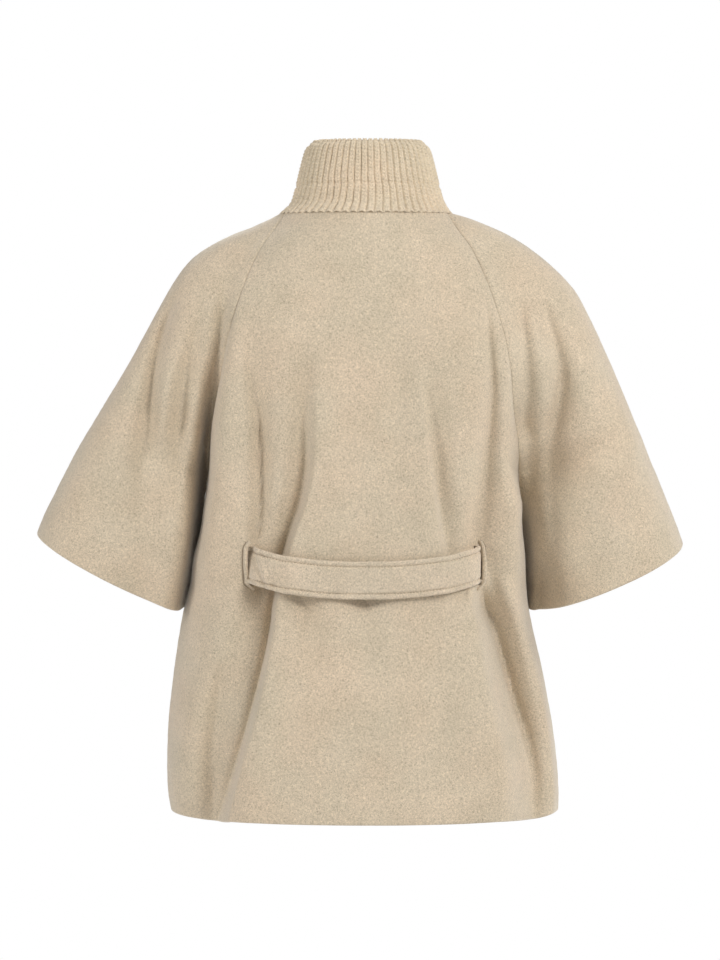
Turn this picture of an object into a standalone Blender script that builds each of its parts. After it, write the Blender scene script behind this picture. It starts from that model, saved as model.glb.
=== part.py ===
"""Short cape coat with raglan sleeves, a rib-knit stand collar and a slotted back belt.

The coat is one curved cloth form, worked out from two tables of rows: BODY, from the
neck to the hem, and SLEEVE, from the neck to the sleeve hem.  The panels that a maker
would cut are patches of that form, each a closed cloth wall, 0.3 mm apart at the seams.
Metres, +Z up.  The back of the coat faces +Y, and the wearer's left is +X.
"""

from collections import namedtuple
import math

import bmesh
import bpy
from mathutils import Vector
from mathutils.bvhtree import BVHTree


# ---------------------------------------------------------------- driving dimensions

CLOTH = 0.0024            # thickness of the felted wool cloth
SEAM_GAP = 0.0003         # what lies between two pieces that meet
KNIT = 0.0060             # thickness of the folded rib-knit collar
FRONT_SHARE = 0.93        # depth of the fronts as a share of the back's depth
NECK_DROP = 0.050         # how far the front neckline lies below the back one
SLEEVE_SAG_LEFT = 0.0055  # how far a sleeve hem's middle hangs below its two ends
SLEEVE_SAG_RIGHT = 0.0105
SAG_FROM = 9              # the sleeve row where the sag begins
SIDE_LEAN = 0.12          # how far a side seam that is drawn to the front also lies inwards
WRAP = 0.030              # how far each front runs past the centre front
WRAP_RAMP = 0.030         # length over which the upper front climbs onto the lower
WRAP_CLEAR = 0.010        # what it has climbed by before it reaches the lower front's edge

BACK_COLUMNS = 15         # cells from the centre back to a seam
TROUGH_COLUMN = 6         # the cell corner that follows the bottom of its hollow
CREST_SHOULDER = 0.012    # from the crest to the corner before it
FOLD_COLUMNS_FROM = 0.10  # depth below the neck where the corners start to turn to the fold
FOLD_COLUMNS_RUN = 0.08   # height over which they reach it
FRONT_COLUMNS = 9
WRAP_COLUMNS = 2
SLEEVE_COLUMNS = 8
NECK_SIDE_COLUMNS = 2     # cells of the collar along each half sleeve's share of the neck

COLLAR_END_GAP = 0.0012   # between the collar's ends at the centre front

BELT_WIDTH = 0.042
BELT_THICK = 0.0040
BELT_EDGE = 0.0012        # bevel of the belt's edges
BELT_STEPS = 2            # cells between two rows of the belt's route
BED_STEP = 0.0040         # how far around a place the slope under the belt is taken
BELT_REST = 0.0850        # where the belt meets the cloth again, past the hollow by a slot

SLOT_X = 0.1295           # middle of each belt slot, left and right
SLOT_Z = -0.3970
SLOT_TALL = 0.0460
SLOT_WIDE = 0.0110
LIP_WIDE = 0.0054
LIP_HIGH = 0.0030
LIP_OVER = 0.0035         # how far a lip runs past its slot at each end
LIP_BOW = 0.0015          # how far the middle of an outer lip is drawn to the centre back
LIP_STEPS = 6

WOOL = (0.62, 0.52, 0.40)
RIB = (0.63, 0.52, 0.38)


# ---------------------------------------------------------------- the coat's rows

BodyRow = namedtuple("BodyRow", "z left right edge_y turn reach depth flat side_y")
BODY = (
    # z, half widths left and right, depth of the edge, the way the section turns there in
    # degrees, how far it runs straight there, depth at the centre, flat share of the middle,
    # and how far the edge is drawn along to the front or back
    BodyRow(0.000, 0.0920, 0.0920, 0.0260, -68, 0.030, 0.082, 0.50, 0.000),
    BodyRow(-0.018, 0.1020, 0.1020, 0.0440, -50, 0.030, 0.088, 0.50, 0.000),
    BodyRow(-0.040, 0.1175, 0.1175, 0.0600, -40, 0.034, 0.095, 0.50, 0.000),
    BodyRow(-0.068, 0.1310, 0.1310, 0.0750, -33, 0.038, 0.103, 0.50, 0.000),
    BodyRow(-0.100, 0.1430, 0.1430, 0.0860, -30, 0.040, 0.110, 0.50, 0.000),
    BodyRow(-0.140, 0.1552, 0.1545, 0.0920, -44, 0.040, 0.116, 0.56, 0.000),
    BodyRow(-0.180, 0.1625, 0.1615, 0.0820, -92, 0.036, 0.120, 0.66, 0.000),
    BodyRow(-0.222, 0.1692, 0.1660, 0.0620, -104, 0.052, 0.123, 0.74, -0.003),
    BodyRow(-0.262, 0.1752, 0.1708, 0.0340, -100, 0.080, 0.125, 0.78, -0.010),
    BodyRow(-0.300, 0.1822, 0.1739, 0.0000, -94, 0.118, 0.126, 0.80, -0.020),
    BodyRow(-0.330, 0.1865, 0.1778, 0.0000, -94, 0.118, 0.127, 0.80, -0.022),
    BodyRow(-0.362, 0.1892, 0.1800, 0.0000, -94, 0.118, 0.128, 0.80, -0.022),
    BodyRow(-0.394, 0.1958, 0.1834, 0.0000, -94, 0.112, 0.129, 0.77, -0.022),
    BodyRow(-0.426, 0.2037, 0.1865, 0.0000, -92, 0.102, 0.131, 0.70, -0.022),
    BodyRow(-0.459, 0.2130, 0.1902, 0.0000, -90, 0.094, 0.133, 0.64, -0.022),
    BodyRow(-0.500, 0.2200, 0.1990, 0.0000, -90, 0.090, 0.136, 0.60, -0.020),
    BodyRow(-0.545, 0.2255, 0.2085, 0.0000, -90, 0.090, 0.139, 0.59, -0.018),
    BodyRow(-0.590, 0.2295, 0.2165, 0.0000, -90, 0.090, 0.142, 0.58, -0.014),
    BodyRow(-0.632, 0.2300, 0.2210, 0.0000, -90, 0.090, 0.144, 0.58, -0.010),
    BodyRow(-0.664, 0.2287, 0.2226, 0.0000, -90, 0.090, 0.146, 0.57, -0.008),
    BodyRow(-0.686, 0.2252, 0.2220, 0.0000, -90, 0.090, 0.147, 0.57, -0.008),
)
UNDERARM = 9              # the row where the armholes close

OverRow = namedtuple("OverRow", ("left_x left_z right_x right_z y turn seam_reach over_reach "
                                 "front_turn front"))
OVERARM = (
    # the line along the top of each sleeve; how the back half's section leaves the raglan
    # seam and arrives here; how the front half leaves it, and its share of the back's depth
    OverRow(0.0970, -0.002, 0.0970, -0.002, 0.000, -68, 0.010, 0.014, -68, 0.93),
    OverRow(0.1240, -0.015, 0.1250, -0.011, 0.000, -50, 0.014, 0.030, -50, 0.93),
    OverRow(0.1650, -0.032, 0.1655, -0.029, 0.000, -40, 0.024, 0.046, -40, 0.93),
    OverRow(0.2040, -0.057, 0.2065, -0.055, 0.000, -33, 0.034, 0.058, -33, 0.93),
    OverRow(0.2290, -0.092, 0.2395, -0.090, 0.000, -30, 0.040, 0.068, -30, 0.93),
    OverRow(0.2500, -0.131, 0.2610, -0.129, 0.000, -24, 0.044, 0.076, -24, 0.93),
    OverRow(0.2685, -0.166, 0.2775, -0.163, -0.001, 4, 0.046, 0.084, 4, 0.93),
    OverRow(0.2870, -0.198, 0.2915, -0.196, -0.003, 32, 0.060, 0.090, 32, 0.93),
    OverRow(0.3040, -0.226, 0.3035, -0.227, -0.005, 54, 0.092, 0.097, 50, 0.92),
    OverRow(0.3195, -0.252, 0.3145, -0.254, -0.007, 72, 0.126, 0.106, 60, 0.88),
    OverRow(0.3330, -0.275, 0.3245, -0.278, -0.009, 80, 0.133, 0.114, 78, 0.80),
    OverRow(0.3455, -0.299, 0.3350, -0.302, -0.012, 84, 0.138, 0.122, 86, 0.71),
    OverRow(0.3580, -0.324, 0.3450, -0.326, -0.014, 85, 0.143, 0.129, 90, 0.64),
    OverRow(0.3695, -0.346, 0.3555, -0.352, -0.016, 86, 0.147, 0.136, 91, 0.58),
    OverRow(0.3785, -0.3675, 0.3645, -0.3795, -0.018, 86, 0.150, 0.142, 92, 0.53),
)
ArmRow = namedtuple("ArmRow", "left_x left_z right_x right_z y")
UNDERSLEEVE = (
    # the inner line of each sleeve below the underarm, which lies to the front of the side
    ArmRow(0.1852, -0.332, 0.1764, -0.332, -0.028),
    ArmRow(0.1887, -0.364, 0.1793, -0.364, -0.035),
    ArmRow(0.1940, -0.396, 0.1824, -0.396, -0.041),
    ArmRow(0.2012, -0.428, 0.1846, -0.428, -0.047),
    ArmRow(0.2072, -0.460, 0.1866, -0.461, -0.052),
)

Fold = namedtuple("Fold", "side path depth steep easy ridge")
BACK_FOLDS = (
    # side +1 is the wearer's left; path holds (z, x, share of the depth)
    Fold(1, ((-0.170, 0.064, 0.0), (-0.262, 0.062, 0.30), (-0.314, 0.070, 0.75),
             (-0.346, 0.078, 0.95), (-0.385, 0.093, 1.0), (-0.439, 0.101, 0.95),
             (-0.509, 0.112, 0.75), (-0.582, 0.134, 0.50), (-0.640, 0.152, 0.35),
             (-0.690, 0.168, 0.20)), 0.0170, 0.020, 0.060, 0.045),
    Fold(-1, ((-0.130, 0.050, 0.0), (-0.235, 0.074, 0.30), (-0.304, 0.078, 0.60),
              (-0.357, 0.088, 0.85), (-0.389, 0.096, 1.0), (-0.441, 0.101, 0.95),
              (-0.510, 0.108, 0.80), (-0.596, 0.121, 0.55), (-0.690, 0.132, 0.40)),
         0.0135, 0.030, 0.050, 0.045),
)


CollarRow = namedtuple("CollarRow", "height scale")
COLLAR = (
    # height above the neckline, and size against the neckline
    CollarRow(0.0000, 1.010),
    CollarRow(0.0055, 0.955),
    CollarRow(0.0120, 0.908),
    CollarRow(0.0340, 0.858),
    CollarRow(0.0540, 0.816),
    CollarRow(0.0690, 0.776),
    CollarRow(0.0775, 0.740),
)
COLLAR_ROLL = 0.0020      # how far the rolled top stands above the last row

BeltRow = namedtuple("BeltRow", "x out z")
BELT = (
    # half of the belt's middle line, from its inner end to the centre back: x, how far the
    # belt's inner face stands out from the cloth (negative inside the coat), and height
    BeltRow(0.1640, -0.0104, -0.3965),
    BeltRow(0.1510, -0.0108, -0.3965),
    BeltRow(0.1385, -0.0110, -0.3965),
    BeltRow(0.1303, -0.0042, -0.3968),
    BeltRow(0.1215, 0.0062, -0.3980),
    BeltRow(0.1080, 0.0106, -0.4010),
    BeltRow(0.0850, 0.0064, -0.4068),
    BeltRow(0.0600, 0.0050, -0.4105),
    BeltRow(0.0300, 0.0060, -0.4125),
    BeltRow(0.0000, 0.0065, -0.4130),
)


# ---------------------------------------------------------------- small geometry tools

def between(rows, column, place):
    """A table's column at a fractional row number, as a smooth curve through the rows."""
    last = len(rows) - 1
    row = min(int(place), last - 1)
    part = place - row
    values = [getattr(rows[min(max(row + step, 0), last)], column) for step in (-1, 0, 1, 2)]
    before, start, end, after = values
    rise_in = (end - before) / 2
    rise_out = (after - start) / 2
    return (start * (2 * part ** 3 - 3 * part ** 2 + 1) + rise_in * (part ** 3 - 2 * part ** 2 + part)
            + end * (3 * part ** 2 - 2 * part ** 3) + rise_out * (part ** 3 - part ** 2))


def bezier(start, leave, arrive, end, share):
    """A point on a cubic curve from its four control points."""
    rest = 1 - share
    return (start * rest ** 3 + leave * 3 * rest ** 2 * share
            + arrive * 3 * rest * share ** 2 + end * share ** 3)


def ease(share):
    """A soft step from 0 to 1."""
    share = min(max(share, 0.0), 1.0)
    return share * share * (3 - 2 * share)


def along(path, z):
    """The x and the share of depth of a fold's path at a height."""
    if z >= path[0][0]:
        return path[0][1], path[0][2]
    for (z0, x0, s0), (z1, x1, s1) in zip(path, path[1:]):
        if z >= z1:
            part = (z0 - z) / (z0 - z1)
            return x0 + (x1 - x0) * part, s0 + (s1 - s0) * part
    return path[-1][1], path[-1][2]


def fold_depth(folds, x, z):
    """How far the cloth lies in (negative) or stands out (positive) at a place."""
    total = 0.0
    for fold in folds:
        crest, share = along(fold.path, z)
        out = x * fold.side - crest
        if out >= 0:
            trough = ease(out / fold.steep) * (1 - ease((out - fold.steep) / fold.easy))
            total -= fold.depth * share * trough
            total += fold.depth * share * 0.3 * (1 - ease(out / fold.steep))
        else:
            total += fold.depth * share * 0.3 * (1 - ease(-out / fold.ridge))
    return total


# ---------------------------------------------------------------- the coat's form

def body_point(place, share, side, face):
    """A point of the body: row place, share 0 at the centre to 1 at the seam."""
    width = between(BODY, "left" if side > 0 else "right", place)
    edge_y = between(BODY, "edge_y", place)
    turn = math.radians(between(BODY, "turn", place))
    reach = between(BODY, "reach", place)
    depth = between(BODY, "depth", place)
    flat = between(BODY, "flat", place)
    z = between(BODY, "z", place)
    end = Vector((width, edge_y, 0))
    arrive = end - reach * Vector((math.cos(turn), math.sin(turn), 0))
    start = Vector((0, depth, 0))
    leave = Vector((width * flat, depth, 0))
    point = bezier(start, leave, arrive, end, share)
    side_y = between(BODY, "side_y", place) * ease((share - 0.5) * 2)
    point.x += SIDE_LEAN * side_y
    if face < 0:
        drop = NECK_DROP * (1 - ease(place / 6)) * ease(1 - share)
        point = Vector((point.x, -point.y * FRONT_SHARE, -drop))
    else:
        point.y += fold_depth(BACK_FOLDS, point.x * side, z) * ease((1 - share) * 4)
    point.x *= side
    point.y += side_y
    point.z += z
    return point


def seam_point(place, side, face):
    """A point of the raglan seam, or of the sleeve's inner line below the underarm."""
    if place <= UNDERARM:
        return body_point(place, 1, side, face)
    hand = "left" if side > 0 else "right"
    first = body_point(UNDERARM, 1, side, face)
    rows = (ArmRow(first.x * side, first.z, first.x * side, first.z, first.y),) + UNDERSLEEVE
    place -= UNDERARM
    return Vector((side * between(rows, hand + "_x", place), between(rows, "y", place),
                   between(rows, hand + "_z", place)))


def sleeve_point(place, share, side, face):
    """A point of a sleeve: share 0 at the raglan seam to 1 at the overarm seam."""
    hand = "left" if side > 0 else "right"
    start = seam_point(place, side, face)
    end = Vector((side * between(OVERARM, hand + "_x", place), between(OVERARM, "y", place),
                  between(OVERARM, hand + "_z", place)))
    turn = math.radians(between(OVERARM, "turn" if face > 0 else "front_turn", place))
    outward = Vector((end.x - start.x, 0, end.z - start.z)).normalized()
    deep = Vector((0, 1 if face > 0 else -between(OVERARM, "front", place), 0))
    leave = start + between(OVERARM, "seam_reach", place) * (
        math.cos(turn) * outward + math.sin(turn) * deep)
    arrive = end + between(OVERARM, "over_reach", place) * deep
    point = bezier(start, leave, arrive, end, share)
    sag = SLEEVE_SAG_LEFT if side > 0 else SLEEVE_SAG_RIGHT
    point.z -= sag * 4 * share * (1 - share) * ease((place - SAG_FROM) / (len(OVERARM) - 1 - SAG_FROM))
    return point


def share_at(place, x, side, face):
    """Where along a body row the section reaches a given x, counted from the centre."""
    low, high = 0.0, 1.0
    for _ in range(30):
        middle = (low + high) / 2
        if body_point(place, middle, side, face).x * side < x:
            low = middle
        else:
            high = middle
    return (low + high) / 2


def back_shares(row, side):
    """Shares of a back row's cell corners, drawn below the shoulders to the side's fold."""
    even = [n / BACK_COLUMNS for n in range(BACK_COLUMNS + 1)]
    fold = [one for one in BACK_FOLDS if one.side == side][0]
    z = BODY[row].z
    crest = along(fold.path, z)[0]
    places = [0.0, crest * 0.35, crest * 0.70, crest - CREST_SHOULDER, crest,
              crest + fold.steep / 2, crest + fold.steep]
    drawn = [share_at(row, x, side, 1) for x in places]
    rest = BACK_COLUMNS - TROUGH_COLUMN
    drawn += [drawn[-1] + (1 - drawn[-1]) * n / rest for n in range(1, rest + 1)]
    pull = ease((-z - FOLD_COLUMNS_FROM) / FOLD_COLUMNS_RUN)
    return [one + (other - one) * pull for one, other in zip(even, drawn)]


def front_point(place, share, side):
    """A point of a front: below 0 the share runs past the centre front, over the wrap."""
    across = share if share >= 0 else share_at(place, -share * WRAP, side, -1)
    point = body_point(place, across, side, -1)
    run = body_point(place, min(across + 0.02, 1), side, -1)
    run -= body_point(place, max(across - 0.02, 0), side, -1)
    outward = Vector((run.y * side, -run.x * side, 0)).normalized()
    if share < 0:
        point.x = -point.x
        outward.x = -outward.x
    if side < 0:
        climb = ease((point.x + WRAP + WRAP_CLEAR + WRAP_RAMP) / WRAP_RAMP)
        point += outward * (CLOTH + 3 * SEAM_GAP) * climb
    return point


def neckline():
    """The neck edge of the panels, around from the left front to the right front."""
    halves = []
    for side in (1, -1):
        across = [n / NECK_SIDE_COLUMNS for n in range(NECK_SIDE_COLUMNS)]
        half = [body_point(0, n / FRONT_COLUMNS, side, -1) for n in range(FRONT_COLUMNS)]
        half += [sleeve_point(0, share, side, -1) for share in across]
        half += [sleeve_point(0, 1 - share, side, 1) for share in across]
        half += [body_point(0, 1 - n / BACK_COLUMNS, side, 1) for n in range(BACK_COLUMNS)]
        halves.append(half)
    return halves[0] + [body_point(0, 0, 1, 1)] + halves[1][::-1]


def collar_sections():
    """Closed sections of the collar's wall, from its left front end to its right one."""
    around = neckline()
    last = len(around) - 1
    sections = []
    for number, point in enumerate(around):
        run = around[min(number + 1, last)] - around[max(number - 1, 0)]
        outward = Vector((run.y, -run.x, 0)).normalized()
        if number in (0, last):
            outward = Vector((0, -1, 0))
        outer = []
        for row in COLLAR:
            outer.append(Vector((point.x * row.scale, point.y * row.scale,
                                 point.z + SEAM_GAP + row.height)))
        inner = [place - outward * KNIT for place in outer]
        top = (outer[-1] + inner[-1]) / 2 + Vector((0, 0, COLLAR_ROLL))
        section = outer + [top] + inner[::-1]
        if number in (0, last):
            hand = 1 if number == 0 else -1
            for place in section:
                place.x = hand * COLLAR_END_GAP / 2
        sections.append(section)
    return sections


# ---------------------------------------------------------------- closed bodies

def new_part(name, vertices, faces, colour):
    """A closed mesh object with its faces turned outwards and its own material."""
    mesh = bpy.data.meshes.new(name)
    mesh.from_pydata([tuple(vertex) for vertex in vertices], [], faces)
    shape = bmesh.new()
    shape.from_mesh(mesh)
    if shape.calc_volume(signed=True) < 0:
        bmesh.ops.reverse_faces(shape, faces=shape.faces)
    bmesh.ops.triangulate(shape, faces=shape.faces)
    shape.to_mesh(mesh)
    shape.free()
    mesh.shade_smooth()
    mesh.set_sharp_from_angle(angle=math.radians(50))
    material = bpy.data.materials.new(name)
    material.use_nodes = True
    surface = material.node_tree.nodes["Principled BSDF"]
    surface.inputs["Base Color"].default_value = (*colour, 1)
    surface.inputs["Roughness"].default_value = 0.95
    surface.inputs["Metallic"].default_value = 0.0
    mesh.materials.append(material)
    part = bpy.data.objects.new(name, mesh)
    COAT.objects.link(part)
    return part


def loft(name, sections, colour):
    """A closed body through sections of equal count, with a cap on each end."""
    count = len(sections[0])
    vertices = [place for section in sections for place in section]
    faces = []
    for row in range(len(sections) - 1):
        for corner in range(count):
            beside = (corner + 1) % count
            faces.append((row * count + corner, row * count + beside,
                          (row + 1) * count + beside, (row + 1) * count + corner))
    faces.append(tuple(range(count))[::-1])
    faces.append(tuple((len(sections) - 1) * count + corner for corner in range(count)))
    return new_part(name, vertices, faces, colour)


def weld_key(place):
    """The same key for the same place on two panels."""
    return tuple(round(value * 1e5) for value in place)


def grid_faces(rows, columns):
    """Corner indices of a grid's cells, as (row, column) pairs."""
    for row in range(rows - 1):
        for column in range(columns - 1):
            yield (row, column), (row, column + 1), (row + 1, column + 1), (row + 1, column)


def face_normal(grid, corners):
    """The unit normal of a cell."""
    first, second, third, fourth = [grid[row][column] for row, column in corners]
    return (third - first).cross(fourth - second).normalized()


def turned_out(grid):
    """The grid with its columns in the order that turns its cells away from the coat."""
    rows, columns = len(grid), len(grid[0])
    total = 0.0
    for corners in grid_faces(rows, columns):
        middle = sum((grid[row][column] for row, column in corners), Vector()) / 4
        total += face_normal(grid, corners).dot(Vector((0, middle.y, 0)))
    if total < 0:
        return [row[::-1] for row in grid]
    return grid


def walls(panels):
    """The panels as closed walls: each seam point moved back from the seam, and the inner
    face laid in by the cloth's thickness along the normals of the whole welded form."""
    normals = {}
    meetings = {}
    for name, grid in panels.items():
        for corners in grid_faces(len(grid), len(grid[0])):
            normal = face_normal(grid, corners)
            for row, column in corners:
                normals.setdefault(weld_key(grid[row][column]), []).append(normal)
        for row in grid:
            for edge, beside in ((0, 1), (-1, -2)):
                inward = (row[beside] - row[edge]).normalized()
                meetings.setdefault(weld_key(row[edge]), {})[name] = inward
    solids = {}
    for name, grid in panels.items():
        outer = []
        inner = []
        for row in grid:
            for column, place in enumerate(row):
                key = weld_key(place)
                around = normals[key]
                normal = sum(around, Vector()).normalized()
                lean = sum(normal.dot(one) for one in around) / len(around)
                if len(meetings.get(key, ())) > 2:
                    normal = Vector((0, 0, -1))
                    lean = 1.0
                shift = Vector()
                if column in (0, len(row) - 1):
                    own = meetings[key][name]
                    for other, inward in meetings[key].items():
                        if other != name:
                            shift += (own - inward).normalized() * SEAM_GAP / 2
                outer.append(place + shift)
                inner.append(place + shift - normal * CLOTH / max(lean, 0.5))
        solids[name] = (outer, inner)
    return solids


def wall_faces(rows, columns):
    """The faces of a closed wall on a grid: outer face, inner face and rim."""
    count = rows * columns
    faces = []
    for corners in grid_faces(rows, columns):
        cell = [row * columns + column for row, column in corners]
        faces.append(tuple(cell))
        faces.append(tuple(corner + count for corner in reversed(cell)))
    ends = (rows - 1) * columns
    for column in range(columns - 1):
        faces.append((column + 1, column, column + count, column + 1 + count))
        near = ends + column
        faces.append((near, near + 1, near + 1 + count, near + count))
    for row in range(rows - 1):
        for edge, order in ((0, 1), (columns - 1, -1)):
            upper = row * columns + edge
            lower = upper + columns
            faces.append((upper, lower, lower + count)[::order])
            faces.append((upper, lower + count, upper + count)[::order])
    return faces


# ---------------------------------------------------------------- the coat's pieces

def cloth_panels():
    """Grids of the seven cut panels on the coat's form."""
    body_rows = range(len(BODY))
    arm_rows = range(len(OVERARM))
    panels = {}
    panels["back"] = []
    for row in body_rows:
        right = [body_point(row, share, -1, 1) for share in back_shares(row, -1)[:0:-1]]
        left = [body_point(row, share, 1, 1) for share in back_shares(row, 1)]
        panels["back"].append(right + left)
    for name, side in (("front_left", 1), ("front_right", -1)):
        shares = [n / WRAP_COLUMNS for n in range(-WRAP_COLUMNS, 0)]
        shares += [n / FRONT_COLUMNS for n in range(FRONT_COLUMNS + 1)]
        panels[name] = [[front_point(row, share, side) for share in shares] for row in body_rows]
    for side, hand in ((1, "left"), (-1, "right")):
        for face, name in ((1, "sleeve_back_"), (-1, "sleeve_front_")):
            shares = [n / SLEEVE_COLUMNS for n in range(SLEEVE_COLUMNS + 1)]
            panels[name + hand] = [[sleeve_point(row, share, side, face)
                                    for share in shares] for row in arm_rows]
    return {name: turned_out(grid) for name, grid in panels.items()}


def cloth_y(cloth, x, z):
    """The depth of the back panel's outer face at a place."""
    return cloth.ray_cast(Vector((x, 1, z)), Vector((0, -1, 0)))[0].y


def belt_bed(cloth, x):
    """The depth that the belt is laid on: the cloth, and a straight line over each hollow."""
    slot = cloth_y(cloth, math.copysign(SLOT_X, x), SLOT_Z)
    rest = cloth_y(cloth, math.copysign(BELT_REST, x), SLOT_Z)
    if BELT_REST < abs(x) < SLOT_X:
        return rest + (slot - rest) * (abs(x) - BELT_REST) / (SLOT_X - BELT_REST)
    return cloth_y(cloth, x, SLOT_Z)


def belt_middle(cloth):
    """The belt's middle line from end to end."""
    line = []
    steps = (len(BELT) - 1) * BELT_STEPS
    for hand, numbers in ((1, range(steps + 1)), (-1, range(steps - 1, -1, -1))):
        for number in numbers:
            place = number / BELT_STEPS
            x = hand * between(BELT, "x", place)
            run = belt_bed(cloth, x + BED_STEP) - belt_bed(cloth, x - BED_STEP)
            outward = Vector((-run, 2 * BED_STEP, 0)).normalized()
            line.append(Vector((x, belt_bed(cloth, x), between(BELT, "z", place)))
                        + outward * (between(BELT, "out", place) + BELT_THICK / 2))
    return line


def belt_sections(cloth):
    """Bevelled sections of the belt along its middle line."""
    line = belt_middle(cloth)
    last = len(line) - 1
    tall = BELT_WIDTH / 2
    thick = BELT_THICK / 2
    corners = ((thick, tall - BELT_EDGE), (thick - BELT_EDGE, tall),
               (BELT_EDGE - thick, tall), (-thick, tall - BELT_EDGE),
               (-thick, BELT_EDGE - tall), (BELT_EDGE - thick, -tall),
               (thick - BELT_EDGE, -tall), (thick, BELT_EDGE - tall))
    sections = []
    for number, place in enumerate(line):
        run = line[min(number + 1, last)] - line[max(number - 1, 0)]
        run.z = 0
        outward = Vector((run.y, -run.x, 0)).normalized()
        if outward.y < 0:
            outward.negate()
        sections.append([place + outward * out + Vector((0, 0, up)) for out, up in corners])
    return sections


def lip_sections(cloth, hand, inner):
    """D-shaped sections of one slot lip, lying on the back panel."""
    middle = SLOT_X + (-1 if inner else 1) * (SLOT_WIDE + LIP_WIDE) / 2
    tall = SLOT_TALL / 2 + LIP_OVER
    sections = []
    for step in range(LIP_STEPS + 1):
        along_slot = 2 * step / LIP_STEPS - 1
        x = hand * (middle - (0 if inner else LIP_BOW * (1 - along_slot ** 2)))
        z = SLOT_Z + along_slot * tall
        side_step = hand * LIP_WIDE / 2
        near, far = cloth_y(cloth, x - side_step, z), cloth_y(cloth, x + side_step, z)
        flat = Vector((2 * side_step, far - near, 0))
        outward = Vector((-flat.y, flat.x, 0)).normalized()
        if outward.y < 0:
            outward.negate()
        base = Vector((x, (near + far) / 2, z)) + outward * 2 * SEAM_GAP
        thin = LIP_HIGH * (0.6 if abs(along_slot) == 1 else 1.0)
        across = flat.normalized() * LIP_WIDE / 2
        sections.append([base - across, base + across,
                         base + across * 0.8 + outward * thin * 0.7, base + outward * thin,
                         base - across * 0.8 + outward * thin * 0.7])
    return sections


def cut_slots(cloth, back):
    """Open the two belt slots through the back panel."""
    for hand, name in ((1, "slot_cutter_left"), (-1, "slot_cutter_right")):
        bpy.ops.mesh.primitive_cube_add(size=1)
        cutter = bpy.context.object
        cutter.name = name
        size = Vector((SLOT_WIDE, 10 * CLOTH, SLOT_TALL))
        middle = Vector((hand * SLOT_X, cloth_y(cloth, hand * SLOT_X, SLOT_Z) - CLOTH / 2, SLOT_Z))
        for vertex in cutter.data.vertices:
            vertex.co = Vector(one * other for one, other in zip(vertex.co, size)) + middle
        for collection in list(cutter.users_collection):
            collection.objects.unlink(cutter)
        CUTTERS.objects.link(cutter)
        cutter.hide_render = True
        cutter.display_type = "WIRE"
        cut = back.modifiers.new(name, "BOOLEAN")
        cut.operation = "DIFFERENCE"
        cut.solver = "EXACT"
        cut.object = cutter


def build():
    """Every piece of the coat."""
    panels = cloth_panels()
    parts = {}
    for name, (outer, inner) in walls(panels).items():
        rows, columns = len(panels[name]), len(panels[name][0])
        parts[name] = new_part(name, outer + inner, wall_faces(rows, columns), WOOL)
    shape = bmesh.new()
    shape.from_mesh(parts["back"].data)
    cloth = BVHTree.FromBMesh(shape)
    shape.free()
    cut_slots(cloth, parts["back"])
    loft("collar", collar_sections(), RIB)
    loft("belt", belt_sections(cloth), WOOL)
    for hand, side in ((1, "left"), (-1, "right")):
        loft("slot_lip_outer_" + side, lip_sections(cloth, hand, False), WOOL)
        loft("slot_lip_inner_" + side, lip_sections(cloth, hand, True), WOOL)


for old in list(bpy.data.objects):
    bpy.data.objects.remove(old, do_unlink=True)
COAT = bpy.data.collections.new("short_coat")
CUTTERS = bpy.data.collections.new("cutters")
bpy.context.scene.collection.children.link(COAT)
bpy.context.scene.collection.children.link(CUTTERS)
build()
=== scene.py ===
"""The looks of a short cape coat: felted wool panels with their folds, a rib-knit stand
collar, a stitched back belt in two bound slots, and the studio around them.

Laid out as a Blender add-on and run as a script.  Metres, +Z up; the back of the coat
faces +Y and the wearer's left is +X.
"""

import math
from collections import namedtuple

import bmesh
import bpy
import numpy as np
from bpy.props import FloatProperty, FloatVectorProperty, IntProperty, PointerProperty
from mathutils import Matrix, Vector, noise


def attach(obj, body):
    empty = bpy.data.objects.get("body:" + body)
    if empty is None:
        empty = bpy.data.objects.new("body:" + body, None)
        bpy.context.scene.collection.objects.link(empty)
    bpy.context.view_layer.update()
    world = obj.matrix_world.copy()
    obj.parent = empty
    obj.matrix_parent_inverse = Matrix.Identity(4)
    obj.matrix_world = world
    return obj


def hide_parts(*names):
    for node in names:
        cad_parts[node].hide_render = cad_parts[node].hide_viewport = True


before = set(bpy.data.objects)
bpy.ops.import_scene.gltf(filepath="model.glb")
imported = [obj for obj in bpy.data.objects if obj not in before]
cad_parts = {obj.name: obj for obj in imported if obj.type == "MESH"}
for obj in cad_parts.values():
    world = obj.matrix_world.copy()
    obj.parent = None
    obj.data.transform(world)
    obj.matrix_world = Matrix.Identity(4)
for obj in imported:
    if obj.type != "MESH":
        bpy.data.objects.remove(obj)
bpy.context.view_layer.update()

bl_info = {
    "name": "Short cape coat",
    "version": (1, 0, 0),
    "blender": (4, 5, 0),
    "location": "3D View > Sidebar > Coat",
    "description": "Models the cloth, knit and belt of a short cape coat",
    "category": "Object",
}


# ------------------------------------------------------------------ sizes of the form

SEAM_GAP = 0.0003
FRONT_SHARE = 0.93        # depth of the fronts as a share of the back's depth
NECK_DROP = 0.050         # how far the front neckline lies below the back one
SIDE_LEAN = 0.12          # how far a side seam drawn to the front also lies inwards
SLEEVE_SAG = {1: 0.0055, -1: 0.0105}
SAG_FROM = 9              # the sleeve row where the sag of the hem begins
WRAP = 0.030              # how far each front runs past the centre front
WRAP_RAMP = 0.030
WRAP_CLEAR = 0.010
WALL = 0.0024             # thickness of the wall that the upper front climbs over
UNDERARM = 9              # the body row where the armholes close

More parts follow.
